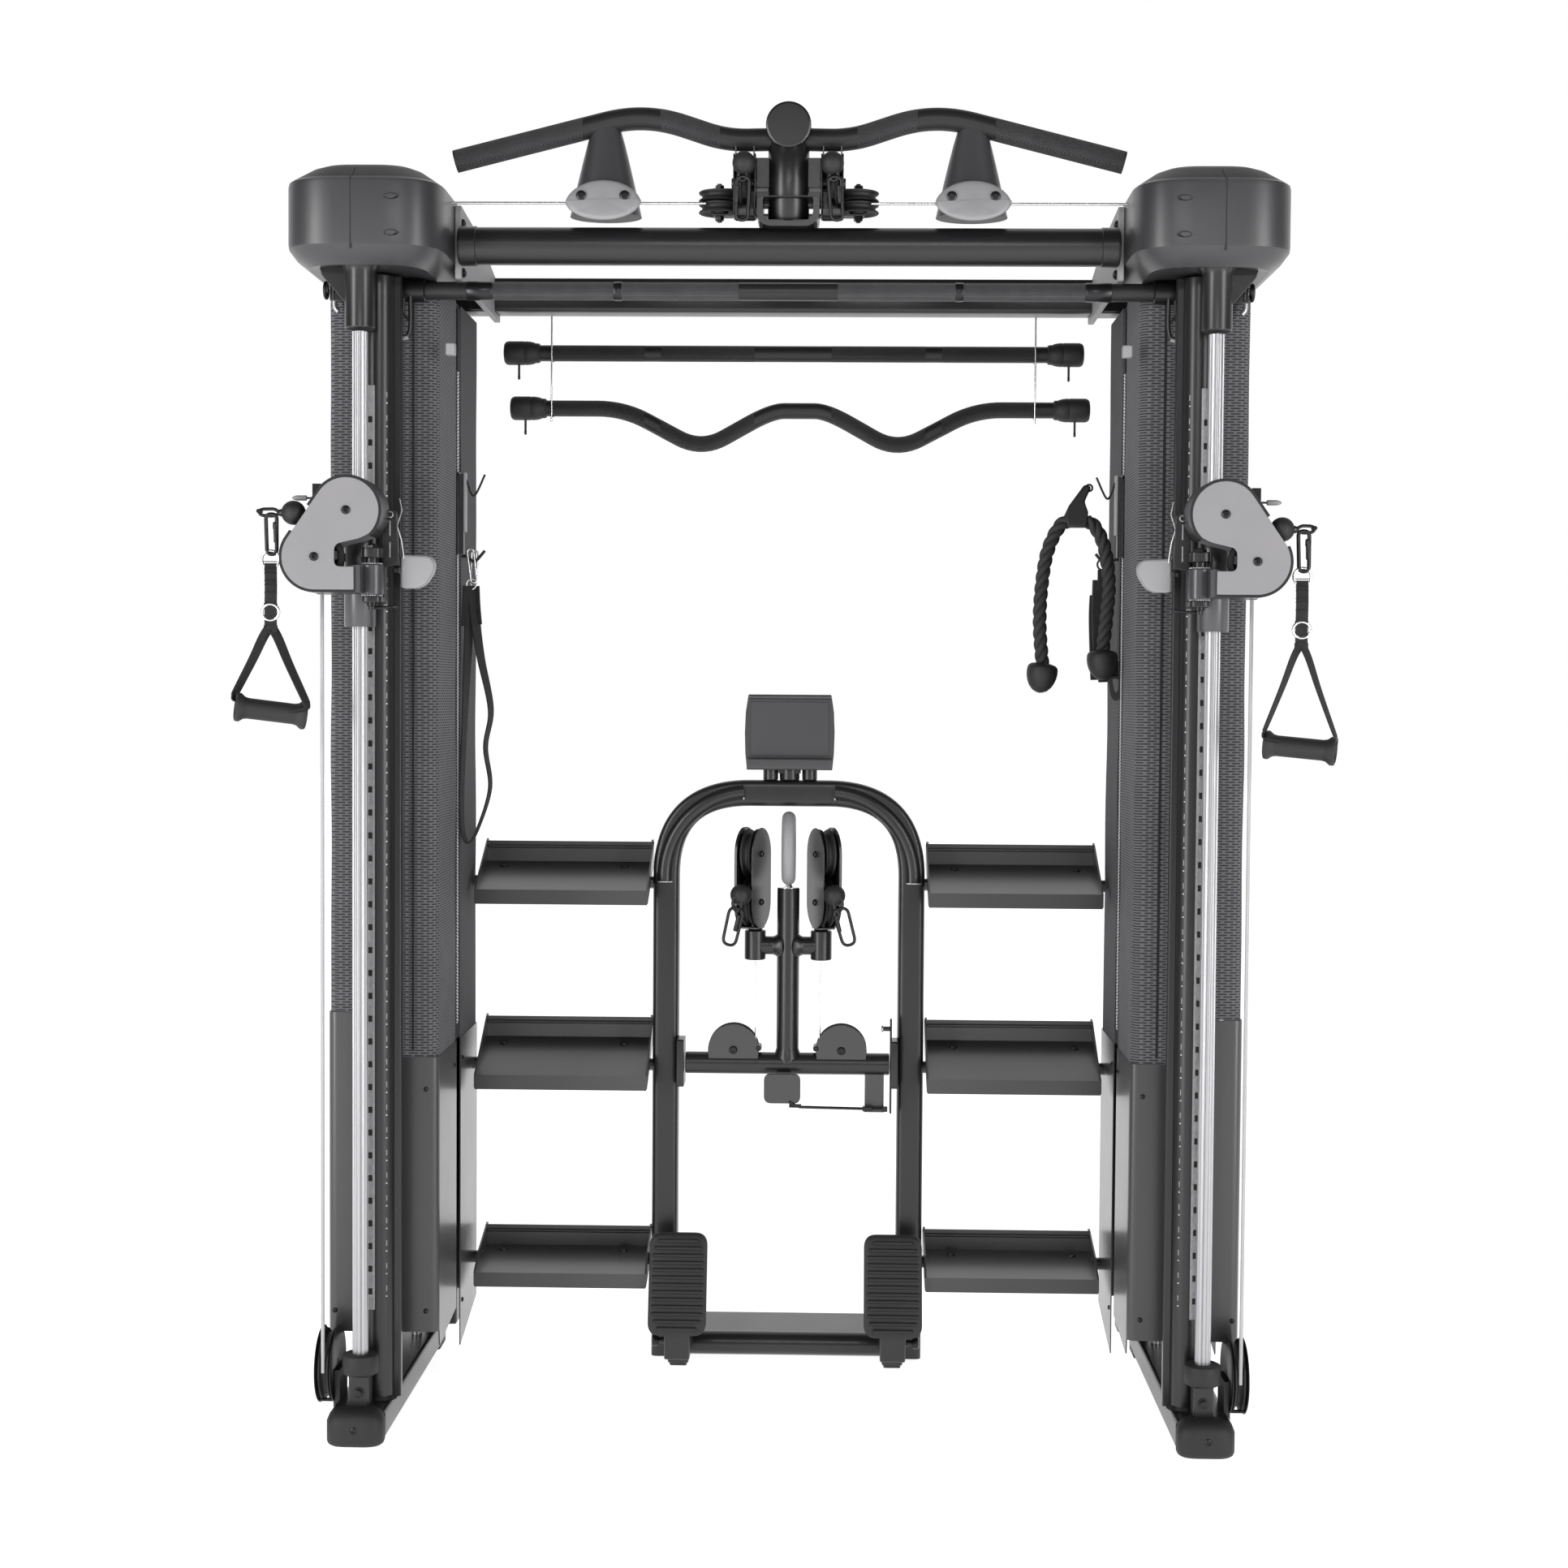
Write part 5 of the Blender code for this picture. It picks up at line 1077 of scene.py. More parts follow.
def front_beam():
    tube = rod((beam_low.x, BEAM_Y, BEAM_Z), (beam_high.x, BEAM_Y, BEAM_Z), BEAM_R, 64)
    piece("front_beam_tube", [tube], BLACK, replaces="front_beam")
    for x in (beam_low.x + 0.016, beam_high.x - 0.016):
        collar = turned((x - 0.0135, BEAM_Y, BEAM_Z), (1, 0, 0),
                [(0, BEAM_R + 0.0005), (0.001, BEAM_R + 0.0016), (0.026, BEAM_R + 0.0016),
                (0.027, BEAM_R + 0.0005)], 64)
        name = "left" if x < 0 else "right"
        piece(f"beam_collar_{name}", [collar], BLACK)
    low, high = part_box("rear_beam")
    (y0, y1), (z0, z1) = REAR_Y, REAR_Z
    outline = flat([(y0, z0), (y1, z0), (y1, z1), (y0, z1)], 0.008, 4)
    piece("rear_beam_tube", [slab(outline, "x", low.x, high.x)], BLACK, replaces="rear_beam")
    wires = []
    for x in (-HANGER_X, HANGER_X):
        stem = bent([(x, 0.529, 1.900), (x, 0.546, 1.900), (x, 0.546, 1.693)], 0.012)
        wires.append(sweep(stem, 0.0016, WIRE, (1, 0, 0)))
        for z in (STRAIGHT_Z, CURL_Z):
            seat = z - 0.0145 - 0.0019
            cradle = bent([(x, 0.5455, seat - 0.003), (x, 0.562, seat), (x, 0.580, seat),
                    (x, 0.590, seat + 0.018)], 0.010)
            wires.append(sweep(cradle, 0.0016, WIRE, (1, 0, 0)))
    piece("bar_hooks", wires, CHROME)


def pull_up_bar():
    half = [(0, 2.090), (0.100, 2.088), (0.200, 2.121), (0.262, 2.123), (0.536, 2.0535)]
    whole = [(-x, BAR_Y, z) for x, z in reversed(half[1:])] + [(x, BAR_Y, z) for x, z in half]
    bar = sweep(bent(whole, 0.035, 10), 0.018, TUBE)
    piece("pull_up_tube", [bar], PULL_GRIP, replaces="pull_up_bar", sharp=50)
    y = BAR_Y
    front = y - 0.040
    hub = turned((0, front, 2.105), (0, 1, 0), [(0, 0.030), (0.0006, 0.0335), (0.002, 0.0358), (0.003, 0.036),
            (0.074, 0.036), (0.076, 0.034)], 64)
    lid = turned((0, front - 0.0002, 2.105), (0, -1, 0), [(0, 0.0325), (0.0008, 0.032), (0.0012, 0.030)], 64)
    post = rod((0, y + 0.002, 1.952), (0, y + 0.002, 2.098), 0.033, 64)
    piece("pull_up_hub", [hub, post], BLACK, sharp=45)
    piece("pull_up_hub_lid", [lid], RUBBER)
    outline = flat([(-0.050, 1.957), (-0.036, 1.944), (0.036, 1.944), (0.050, 1.957), (0.050, 1.990),
            (-0.050, 1.990)], 0.010, 5)
    inner = flat([(-0.040, 1.962), (-0.031, 1.953), (0.031, 1.953), (0.040, 1.962), (0.040, 1.992),
            (-0.040, 1.992)], 0.008, 5)
    cradle = skin([[(a, front - 0.002, b) for a, b in outline], [(a, y + 0.040, b) for a, b in outline],
                   [(a, y + 0.040, b) for a, b in inner], [(a, front - 0.002, b) for a, b in inner]],
                   closed=True)
    plate = box((-0.046, y - 0.030, 1.951), (0.046, y + 0.046, 1.957))
    piece("pull_up_base", [cradle, plate], BLACK, bevel=0.0012)
    for side, s in SIDES:
        support(s, side)
        top_block(s, side)


def support(s, side):
    """A tapered stand from the beam up to the bar, with a pale oval face below."""
    x, y = s * 0.2935, BAR_Y
    rings = []
    for t in (0, 0.06, 0.2, 0.4, 0.6, 0.8, 1.0):
        z = 1.966 + (2.110 - 1.966) * t
        wide = 0.0575 * (1 - t) ** 0.9 + 0.022 * (1 - (1 - t) ** 0.9)
        deep = 0.046 * (1 - t) + 0.018 * t
        rings.append([(x + wide * math.cos(a), y + 0.004 + deep * math.sin(a), z)
                for a in (2 * math.pi * k / 56 for k in range(56))])
    piece(f"{side}_bar_support", [skin(rings)], SHELL, sharp=50)
    rings = []
    for out, grow in ((0.0, 0.90), (0.006, 0.975), (0.012, 1.0), (0.016, 0.985), (0.0185, 0.93),
            (0.020, 0.82), (0.0206, 0.5), (0.0208, 0.1)):
        tip = []
        for k in range(72):
            a = 2 * math.pi * k / 72
            u, v = grow * math.cos(a), grow * math.sin(a)
            lift = 0.006 * math.cos(a) ** 2 if v > 0 else 0
            dent = 0.0016 * math.exp(-((abs(u) - 0.55) ** 2 + (v + 0.52) ** 2) / 0.02)
            dent *= 0.4 < grow < 0.9
            tip.append((x + 0.0605 * u, y - 0.034 - out * 0.9 + dent + 0.010 * v, 1.9835 + 0.0335 * v - lift))
        rings.append(tip)
    piece(f"{side}_support_face", [skin(rings)], LIGHT, sharp=60)
    bolts = [socket_bolt((x + way * 0.0345, y - 0.0505, 1.9895), (0, -1, 0.05), 0.0078, 0.0030)
            for way in (-1, 1)]
    piece(f"{side}_support_bolts", bolts, BOLT)
    dimples = []
    for way in (-1, 1):
        centre = Vector((x + way * 0.036, y - 0.0512, 1.972))
        dimples.append(turned(centre, (0, -1, 0), [(0, 0.0090), (0.0004, 0.0085), (0.0006, 0.006),
                (0.0002, 0.001)], FINE))
        dimples[-1] = ([Vector((p.x, p.y, centre.z + (p.z - centre.z) * 0.30
                + way * (p.x - centre.x) * 0.30)) for p in dimples[-1][0]], dimples[-1][1])
    piece(f"{side}_support_dimples", dimples, SIDE_GREY)


def top_block(s, side):
    """The pulley bracket beside the hub, its ball and clip, and the flat pulleys outside it."""
    x, y = s * 0.070, BAR_Y
    z = 2.025
    cheeks = []
    for inner, outer in ((0.0155, 0.0180), (-0.0180, -0.0155)):
        outline = flat([(y - 0.030, z - 0.060), (y + 0.030, z - 0.060), (y + 0.030, z + 0.038),
                (y - 0.030, z + 0.038)], 0.012, 5)
        cheeks.append(slab(outline, "x", x + inner, x + outer))
    cheeks += [box((x - 0.0155, y - 0.030, z - 0.060), (x + 0.0155, y - 0.026, z - 0.050)),
               box((x - 0.0155, y + 0.020, z - 0.060), (x + 0.0155, y + 0.026, z + 0.030))]
    cheeks += [box((s * 0.030, y - 0.008, low), (x - s * 0.0180, y + 0.010, high))
               for low, high in ((z - 0.014, z + 0.034), (z - 0.044, z - 0.020))]
    piece(f"{side}_top_block", cheeks, BLACK, bevel=0.001)
    lines = [rod((x + way * 0.0145, y - 0.012, z + 0.034), (x + way * 0.0145, y - 0.012, z + 0.052), 0.0013,
            8) for way in (-1, 1)]
    piece(f"{side}_top_block_wires", lines, BOLT)
    axle = turned((x - 0.0215, y, z - 0.005), (1, 0, 0), [(0, 0.0075), (0.0035, 0.0085), (0.0036, 0.0055),
            (0.0394, 0.0055), (0.0395, 0.0085), (0.043, 0.0075)], FINE)
    piece(f"{side}_top_axle", [axle], BOLT)
    front = y - 0.050
    stop = ball((x, front, z + 0.016), 0.0185, (0, 0, 1), TUBE)
    piece(f"{side}_top_ball", [stop], RUBBER)
    hook_z = z - 0.002
    shackle = ring((x + s * 0.002, front - 0.002, hook_z - 0.001), 0.0062, 0.0026, "xz", 1.5)
    top = (x + s * 0.002, front - 0.003, hook_z - 0.004)
    clip = carabiner(top, 0.068, 0.0235, 0.0028, s * 3)
    sleeve = rod((top[0] + s * 0.0085, front - 0.003, hook_z - 0.018), (top[0] + s * 0.0100, front - 0.003,
            hook_z - 0.046), 0.0042, WIRE)
    piece(f"{side}_top_clip", [shackle, clip, sleeve], BOLT)
    cx, cy = s * 0.112, y + 0.025
    discs = [grooved_wheel((cx, cy, h), (0, 0, 1), 0.0335, 0.0085, 0.0045, 0.006) for h in (1.9840, 2.0025)]
    piece(f"{side}_flat_pulleys", discs, RUBBER, sharp=50)
    plates = [box((s * 0.030, cy - 0.012, h - 0.0015), (cx + s * 0.010, cy + 0.012, h + 0.0015))
            for h in (2.0135, 1.9730)]
    bolts = [turned((cx, cy, h), (0, 0, way), [(0, 0.0075), (0.006, 0.0075), (0.0066, 0.0066),
            (0.0066, 0.004), (0.009, 0.004)], 6)
             for h, way in ((2.015, 1), (1.9715, -1))]
    piece(f"{side}_flat_pulley_plates", plates, BLACK, bevel=0.0008)
    piece(f"{side}_flat_pulley_bolts", bolts, BOLT)
    run = rod((cx + s * 0.020, cy - 0.030, 1.9868), (s * 0.5435, cy - 0.030, 1.9868), 0.0022, WIRE)
    piece(f"{side}_top_cable", [run], CHROME)


# ---------------------------------------------------------------- bars
BAR_R = 0.0145


def sliding_bar():
    y, z = depth_of("sliding_bar"), 1.852
    tube = rod((-0.660, y, z), (0.660, y, z), BAR_R)
    piece("sliding_bar_tube", [tube], BAR_GRIP, "sliding_bar", replaces="sliding_bar")
    bands = [turned((x - 0.0065, y, z), (1, 0, 0), [(0, 0.0147), (0.0008, 0.0152), (0.0122, 0.0152),
            (0.013, 0.0147)]) for x in (-0.276, 0.276)]
    for way in (-1, 1):
        bands.append(turned((way * 0.480, y, z), (way, 0, 0), [(0, 0.0147), (0.001, 0.0154), (0.040, 0.0154),
                (0.041, 0.0147)]))
        bands.append(turned((way * 0.588, y, z), (way, 0, 0), [(0, 0.0152), (0.002, 0.0185), (0.046, 0.0185),
                (0.048, 0.0160), (0.074, 0.0160), (0.075, 0.012)]))
    piece("sliding_bar_bands", bands, BOLT, "sliding_bar")
    for side, s in SIDES:
        pin = turned((s * 0.655, y, z), (s, 0, 0), [(0, 0.0068), (0.070, 0.0068), (0.074, 0.0055),
                (0.084, 0.0055), (0.087, 0.0035)], FINE)
        tail = sweep(bent([(s * 0.726, y, z), (s * 0.736, y, z - 0.004), (s * 0.738, y, z - 0.026),
                (s * 0.731, y, z - 0.034)], 0.008), 0.0042)
        piece(f"{side}_bar_pin", [pin, tail], BRIGHT, "sliding_bar")
        x = s * 0.612
        hook = bent([(x, y - 0.012, z - 0.006), (x, y - 0.010, 1.796), (s * 0.615, y - 0.008, 1.778),
                (s * 0.630, y - 0.008, 1.772)], 0.010)
        guide = bent([(x + s * 0.010, y - 0.010, z), (x + s * 0.012, y - 0.010, 1.812),
                (x + s * 0.002, y - 0.010, 1.802)], 0.006)
        piece(f"{side}_bar_lock", [sweep(hook, 0.0034), sweep(guide, 0.0022)], BLACK, "sliding_bar")
        peg = rod((s * 0.6155, y - 0.008, 1.7765), (s * 0.640, y - 0.008, 1.7725), 0.0052, FINE)
        piece(f"{side}_bar_lock_pin", [peg], STRIP, "sliding_bar")


def end_cap(tip, way, y, z):
    length = 0.066
    return turned((tip - way * length, y, z), (way, 0, 0),
                  [(0, 0.0150), (0.002, 0.0175), (0.009, 0.0180), (0.012, 0.0195), (0.018, 0.0208),
                  (0.026, 0.0215), (0.028, 0.0208), (0.030, 0.0215),
                   (0.058, 0.0215), (0.0625, 0.0200), (0.065, 0.0170), (length, 0.0120)])


def accessory_bar(name, path, shift, z):
    y = depth_of(name)
    bar = sweep(path, BAR_R, TUBE)
    piece(f"{name}_tube", [bar], PLAIN_BAR, replaces=name, sharp=50)
    caps, eyes = [], []
    for way in (-1, 1):
        tip = shift + way * 0.527
        caps.append(end_cap(tip, way, y, z))
        stem = tip - way * 0.027
        eyes.append(box((stem - 0.0020, y - 0.002, z - 0.043), (stem + 0.0020, y + 0.002, z - 0.016)))
        eyes.append(turned((stem - 0.002, y, z - 0.044), (1, 0, 0), [(0, 0.0034), (0.0005, 0.0042),
                (0.0035, 0.0042), (0.004, 0.0034)], WIRE))
    piece(f"{name}_caps", caps, RUBBER)
    piece(f"{name}_eyes", eyes, BOLT, bevel=0.0008)


def accessory_bars():
    y = depth_of("straight_bar")
    accessory_bar("straight_bar", [(-0.500 + 0.050 * k, y, STRAIGHT_Z) for k in range(21)], 0.0, STRAIGHT_Z)
    z, shift, y = CURL_Z, 0.012, depth_of("curl_bar")
    half = [(0.004, z - 0.003), (0.050, z - 0.003), (0.178, z - 0.075), (0.320, z), (0.507, z)]
    path = [(shift - x, y, h) for x, h in reversed(half)] + [(shift + x, y, h) for x, h in half]
    accessory_bar("curl_bar", bent(path, 0.048, 9), shift, z)


# ---------------------------------------------------------------- centre frame
ARCH_X, ARCH_TOP, ARCH_Y, ARCH_HALF = 0.221, 1.0235, 0.500, 0.0235


def squared(path, wide, deep, corner):
    """A rounded rectangular tube along a path."""
    points = [Vector(p) for p in path]
    last, rings = len(points) - 1, []
    section = flat([(-wide, -deep), (wide, -deep), (wide, deep), (-wide, deep)], corner, 5)
    for i, point in enumerate(points):
        ahead = (points[min(i + 1, last)] - points[max(i - 1, 0)]).normalized()
        depth = Vector((0, 1, 0))
        side = ahead.cross(depth).normalized()
        rings.append([point + side * a + depth * b for a, b in section])
    return skin(rings)


def weld(centre, axis, radius, start=0, end=360, bead=0.0011):
    axis = Vector(axis).normalized()
    ring_points = circle(centre, axis, radius, 48)
    first, last = int(start / 7.5), int(end / 7.5)
    return [ball(p, bead, sides=8) for i, p in enumerate(ring_points) if first <= i <= last]


BEND_R, GRIP_BEND_R = 0.150, 0.1525


def centre_arch():
    outline = [(-ARCH_X, ARCH_Y, 0.001), (-ARCH_X, ARCH_Y, ARCH_TOP), (ARCH_X, ARCH_Y, ARCH_TOP),
            (ARCH_X, ARCH_Y, 0.001)]
    path = bent(outline, BEND_R, 24)
    cross = rod((-ARCH_X, ARCH_Y, 0.0215), (ARCH_X, ARCH_Y, 0.0215), 0.021)
    plate = box((-ARCH_X, ARCH_Y, 0.035), (ARCH_X, 0.640, 0.040))
    skirt = box((-ARCH_X, 0.636, 0), (ARCH_X, 0.640, 0.040))
    piece("arch_tube", [squared(path, ARCH_HALF, 0.0225, 0.012)], BLACK, replaces="centre_arch", sharp=40)
    piece("arch_base", [cross, plate, skirt], BLACK, bevel=0.0015)
    for side, s in SIDES:
        turn_x, turn_z, grip_y = ARCH_X - BEND_R, ARCH_TOP - BEND_R, ARCH_Y - 0.015
        bend = [(s * (turn_x + GRIP_BEND_R), grip_y, turn_z - 0.010)]
        bend += [(s * p[0], p[1], p[2]) for p in arc((turn_x, grip_y, turn_z), GRIP_BEND_R, 0, 86, "xz", 32)]
        piece(f"{side}_arch_grip", [sweep(bend, 0.0148, TUBE)], BLACK)
        beads = weld((bend[-1][0], grip_y, bend[-1][2]), (1, 0, 0), 0.0152, 180, 352, 0.0017)
        beads += weld(bend[0], (0, 0, 1), 0.0152, 180, 352, 0.0017)
        piece(f"{side}_arch_welds", beads, STRIP)
        ear = flat([(0.498, 0.440), (0.583, 0.440), (0.583, ARCH_Y), (0.498, ARCH_Y)], 0.006, 4)
        mount = slab([(b, a) for a, b in ear], "x", s * 0.1850, s * 0.1980)
        piece(f"{side}_arch_ear", [mount], BLACK, bevel=0.001)
    lock = flat([(0.448, 0.452), (0.470, 0.452), (0.474, 0.560), (0.470, 0.622), (0.452, 0.622),
            (0.446, 0.560)], 0.006, 4)
    plate = slab(lock, "x", 0.1835, 0.1870)
    stop = rod((0.1700, 0.458, 0.604), (0.1850, 0.458, 0.604), 0.0042, FINE)
    piece("latch_plate", [plate, stop], BLACK, bevel=0.0008)
    piece("latch_stop_head", [turned((0.1715, 0.458, 0.604), (-1, 0, 0), [(0, 0.0058), (0.003, 0.0058),
            (0.0038, 0.0040)], FINE)], STRIP)


COLUMN_Y, STUB_X, STUB_Z, GUARD_X = 0.460, 0.059, 0.752, 0.0965


def centre_column():
    y, z, body = COLUMN_Y, 0.540, "centre_column"
    cross = rod((-0.1825, y, z), (0.1825, y, z), 0.0195)
    mast = rod((0, y, z), (0, y, 0.856), 0.020)
    stub = rod((-STUB_X, y, STUB_Z), (STUB_X, y, STUB_Z), 0.0165)
    sockets = [rod((way * STUB_X, y, 0.727), (way * STUB_X, y, 0.7795), 0.0190) for way in (-1, 1)]
    flares = [turned((way * 0.010, y, STUB_Z), (way, 0, 0), [(0, 0.023), (0.008, 0.0215), (0.014, 0.0175),
            (0.017, 0.0165)]) for way in (-1, 1)]
    foot_flare = turned((0, y, z + 0.010), (0, 0, 1), [(0, 0.0245), (0.010, 0.0225), (0.016, 0.0205),
            (0.018, 0.020)])
    piece("column_tubes", [cross, mast, stub, *sockets, *flares, foot_flare], BLACK, body,
            replaces="centre_column")
    rim = turned((0, y, 0.8555), (0, 0, 1), [(0, 0.0190), (0.0008, 0.0190), (0.0012, 0.0160)])
    neck = turned((0, y, 0.854), (0, 0, 1), [(0, 0.0078), (0.004, 0.0078), (0.006, 0.0060), (0.012, 0.0052),
            (0.020, 0.0052)], 6)
    piece("column_neck", [rim, neck], CHROME, body)
    turns = [2 * math.pi * k / 56 for k in range(56)]
    loop = [(0, y + 0.032 * math.cos(t), 0.9265 + 0.0535 * math.sin(t)) for t in turns]
    piece("column_loop", [sweep(loop, 0.0126, FINE, (1, 0, 0), closed=True)], LIGHT, body, sharp=80)
    guards, faces = [], []
    for way in (-1, 1):
        cx = way * GUARD_X
        half_disc = [(cx + 0.0455 * math.cos(math.radians(a)), 0.5655 + 0.0455 * math.sin(math.radians(a)))
                for a in range(-8, 189, 7)]
        half_disc += [(cx - 0.044, 0.549), (cx + 0.044, 0.549)]
        guards += [slab(half_disc, "y", y - 0.0165, y - 0.0140), slab(half_disc, "y", y + 0.0140, y + 0.0165)]
        guards.append(box((cx - 0.044, y - 0.0150, 0.5495), (cx + 0.044, y + 0.0150, 0.5560)))
        faces.append(grooved_wheel((cx, y, 0.5700), (0, 1, 0), 0.0385, 0.010, 0.006, 0.006))
    piece("column_guards", guards, STEEL, body, bevel=0.0007, sharp=40)
    piece("column_floor_wheels", faces, RUBBER, body, sharp=50)
    bolts = [socket_bolt((way * GUARD_X, y - 0.0165, 0.5655), (0, -1, 0), 0.0072, 0.004) for way in (-1, 1)]
    bolts += [turned((way * 0.051, y - 0.018, 0.569), (0, 1, 0), [(0, 0.0040), (0.001, 0.0050),
            (0.035, 0.0050), (0.036, 0.0040)], FINE) for way in (-1, 1)]
    piece("column_guard_bolts", bolts, BOLT, body)
    for way, side in ((-1, "left"), (1, "right")):
        cable = rod((way * 0.0575, y, 0.5760), (way * 0.0575, y, 0.7285), 0.0017, WIRE)
        piece(f"{side}_column_cable", [cable], CHROME, body)
    pedal = flat([(-0.041, 0.472), (0.024, 0.472), (0.024, 0.526), (-0.041, 0.526)], 0.013, 6)
    pedal = slab(pedal, "y", y - 0.030, y - 0.0265)
    stay = box((-0.018, y - 0.028, 0.518), (0.006, y - 0.008, 0.5285))
    latch = box((0.1390, y - 0.014, 0.4575), (0.1730, y + 0.012, 0.5245))
    lid = box((0.1370, y - 0.016, 0.4555), (0.1745, y + 0.013, 0.4610))
    piece("column_pedal", [pedal, stay, latch, lid], STEEL, body, bevel=0.0022)
    link = sweep(bent([(0.004, y - 0.032, 0.4755), (0.020, y - 0.030, 0.4665), (0.140, y - 0.024, 0.4635),
            (0.1795, y - 0.022, 0.4630)], 0.006), 0.0026)
    clips = [box((0.004, y - 0.034, 0.4655), (0.026, y - 0.026, 0.4715)), box((0.135, y - 0.030, 0.4595),
            (0.152, y - 0.014, 0.4675)),
             box((0.170, y - 0.028, 0.4585), (0.1795, y - 0.016, 0.4675))]
    piece("column_link", [link, *clips], BOLT, body, bevel=0.0012)


BLOCK_TURN = 19                      # degrees that each block looks outwards
BLOCK_WHEELS = (0.831, 0.917)


def column_block(way, side):
    """Two grooved wheels between cheeks, turned towards the user, with a ball, shackle and clip in front."""
    body, x, y = f"column_block_{side}", way * STUB_X, COLUMN_Y
    back = 0.012

    def turn(shapes):
        return [spun(shape, (x, y, 0), "Z", way * BLOCK_TURN) for shape in shapes]

    ends = [(y - back, z) for z in BLOCK_WHEELS]
    cheeks = [slab(stadium(*ends, 0.047, 20), "x", x + a, x + a + 0.0022) for a in (-0.0165, 0.0143)]
    outer = 0.0143 if way > 0 else -0.0165
    web = box((x - 0.0160, y - back + 0.032, 0.800), (x + 0.0160, y - back + 0.0345, 0.950))
    hoop = box((x - 0.0160, y - back - 0.018, 0.7835), (x + 0.0160, y - back + 0.018, 0.7870))
    stem = rod((x, y, 0.7795), (x, y, 0.800), 0.0130)
    piece(f"{side}_block_cheeks", turn([*cheeks, web, hoop, stem]), BLACK, body,
            replaces=f"column_block_{side}", bevel=0.0008, sharp=40)
    flange = skin([[(x + outer + a, p, q) for p, q in stadium(*ends, radius, 20)]
                   for a, radius in ((-0.0012, 0.0478), (0.0034, 0.0478), (0.0034, 0.0452),
                   (-0.0012, 0.0452))], closed=True)
    piece(f"{side}_block_flange", turn([flange]), BLACK, body, sharp=40)
    wheels = [grooved_wheel((x, y - back, z), (1, 0, 0), 0.0445, 0.0105, 0.008, 0.006) for z in BLOCK_WHEELS]
    piece(f"{side}_block_wheels", turn(wheels), RUBBER, body, sharp=50)
    bolts = [socket_bolt((x + a * 0.0165, y - back, z), (a, 0, 0), 0.0062, 0.0034) for z in BLOCK_WHEELS
            for a in (-1, 1)]
    piece(f"{side}_block_bolts", turn(bolts), BOLT, body)
    stop = (x, y - 0.072, 0.848)
    neck = rod((x, y - back - 0.040, 0.848), (x, y - 0.060, 0.848), 0.0075, FINE)
    piece(f"{side}_block_ball", turn([ball(stop, 0.019, (0, 1, 0), TUBE), neck]), RUBBER, body)
    fork = turn([([Vector(stop)], [])])[0][0][0] + Vector((way * 0.006, -0.013, -0.010))
    shackle = ring((fork.x, fork.y, fork.z - 0.004), 0.0078, 0.0028, "xz", 1.7)
    knuckle = ball((fork.x, fork.y, fork.z - 0.017), 0.0052, sides=WIRE)
    clip_top = (fork.x + way * 0.002, fork.y - 0.002, fork.z - 0.012)
    clip = carabiner(clip_top, 0.066, 0.0290, 0.0028, way * 14)
    lean = math.radians(way * 14)
    gate_top = Vector(clip_top) + Vector((way * -0.009 * math.cos(lean), 0, 0)) + Vector((math.sin(lean), 0,
            -math.cos(lean))) * 0.012
    gate = rod(gate_top, gate_top + Vector((math.sin(lean), 0, -math.cos(lean))) * 0.030, 0.0040, WIRE)
    piece(f"{side}_block_clip", [shackle, knuckle, clip, gate], BOLT, body)


def tablet_holder():
    y0, body = 0.474, "tablet_holder"
    z0, z1 = 1.066, 1.200
    side_line = [(0.0765, z0), (0.0795, z0 + 0.030), (0.0805, z0 + 0.067), (0.0790, z1 - 0.030), (0.0745, z1)]
    outline = side_line + [(-a, b) for a, b in reversed(side_line)]
    panel = slab(outline, "y", y0 + 0.001, y0 + 0.0105)
    top = rod((-0.0745, y0 - 0.001, z1 - 0.003), (0.0745, y0 - 0.001, z1 - 0.003), 0.0042, WIRE)
    lip_outline = bent([(y0 + 0.004, z0 + 0.003), (y0 - 0.0155, z0 + 0.001), (y0 - 0.0155, z0 + 0.019)],
            0.004, 4)
    rings = [[(x, p.x, p.y) for p in lip_outline] + [(x, p.x + 0.0026, p.y + 0.0026)
            for p in reversed(lip_outline)] for x in (-0.0765, 0.0765)]
    piece("tablet_panel", [panel, top, skin(rings)], STEEL, body, replaces=body, bevel=0.001)
    pad = box((-0.070, y0 - 0.0006, z0 + 0.026), (0.070, y0 + 0.0016, z1 - 0.012))
    piece("tablet_pad", [pad], SHELL, body, bevel=0.0006)
    feet = [rod((x, 0.492, ARCH_TOP + 0.0238), (x, 0.492, z0 + 0.002), r)
            for x, r in ((-0.034, 0.0135), (0.0, 0.0180), (0.036, 0.0135))]
    feet.append(box((-0.020, 0.476, z0 - 0.006), (0.020, 0.500, z0 + 0.004)))
    piece("tablet_feet", feet, BLACK, body)


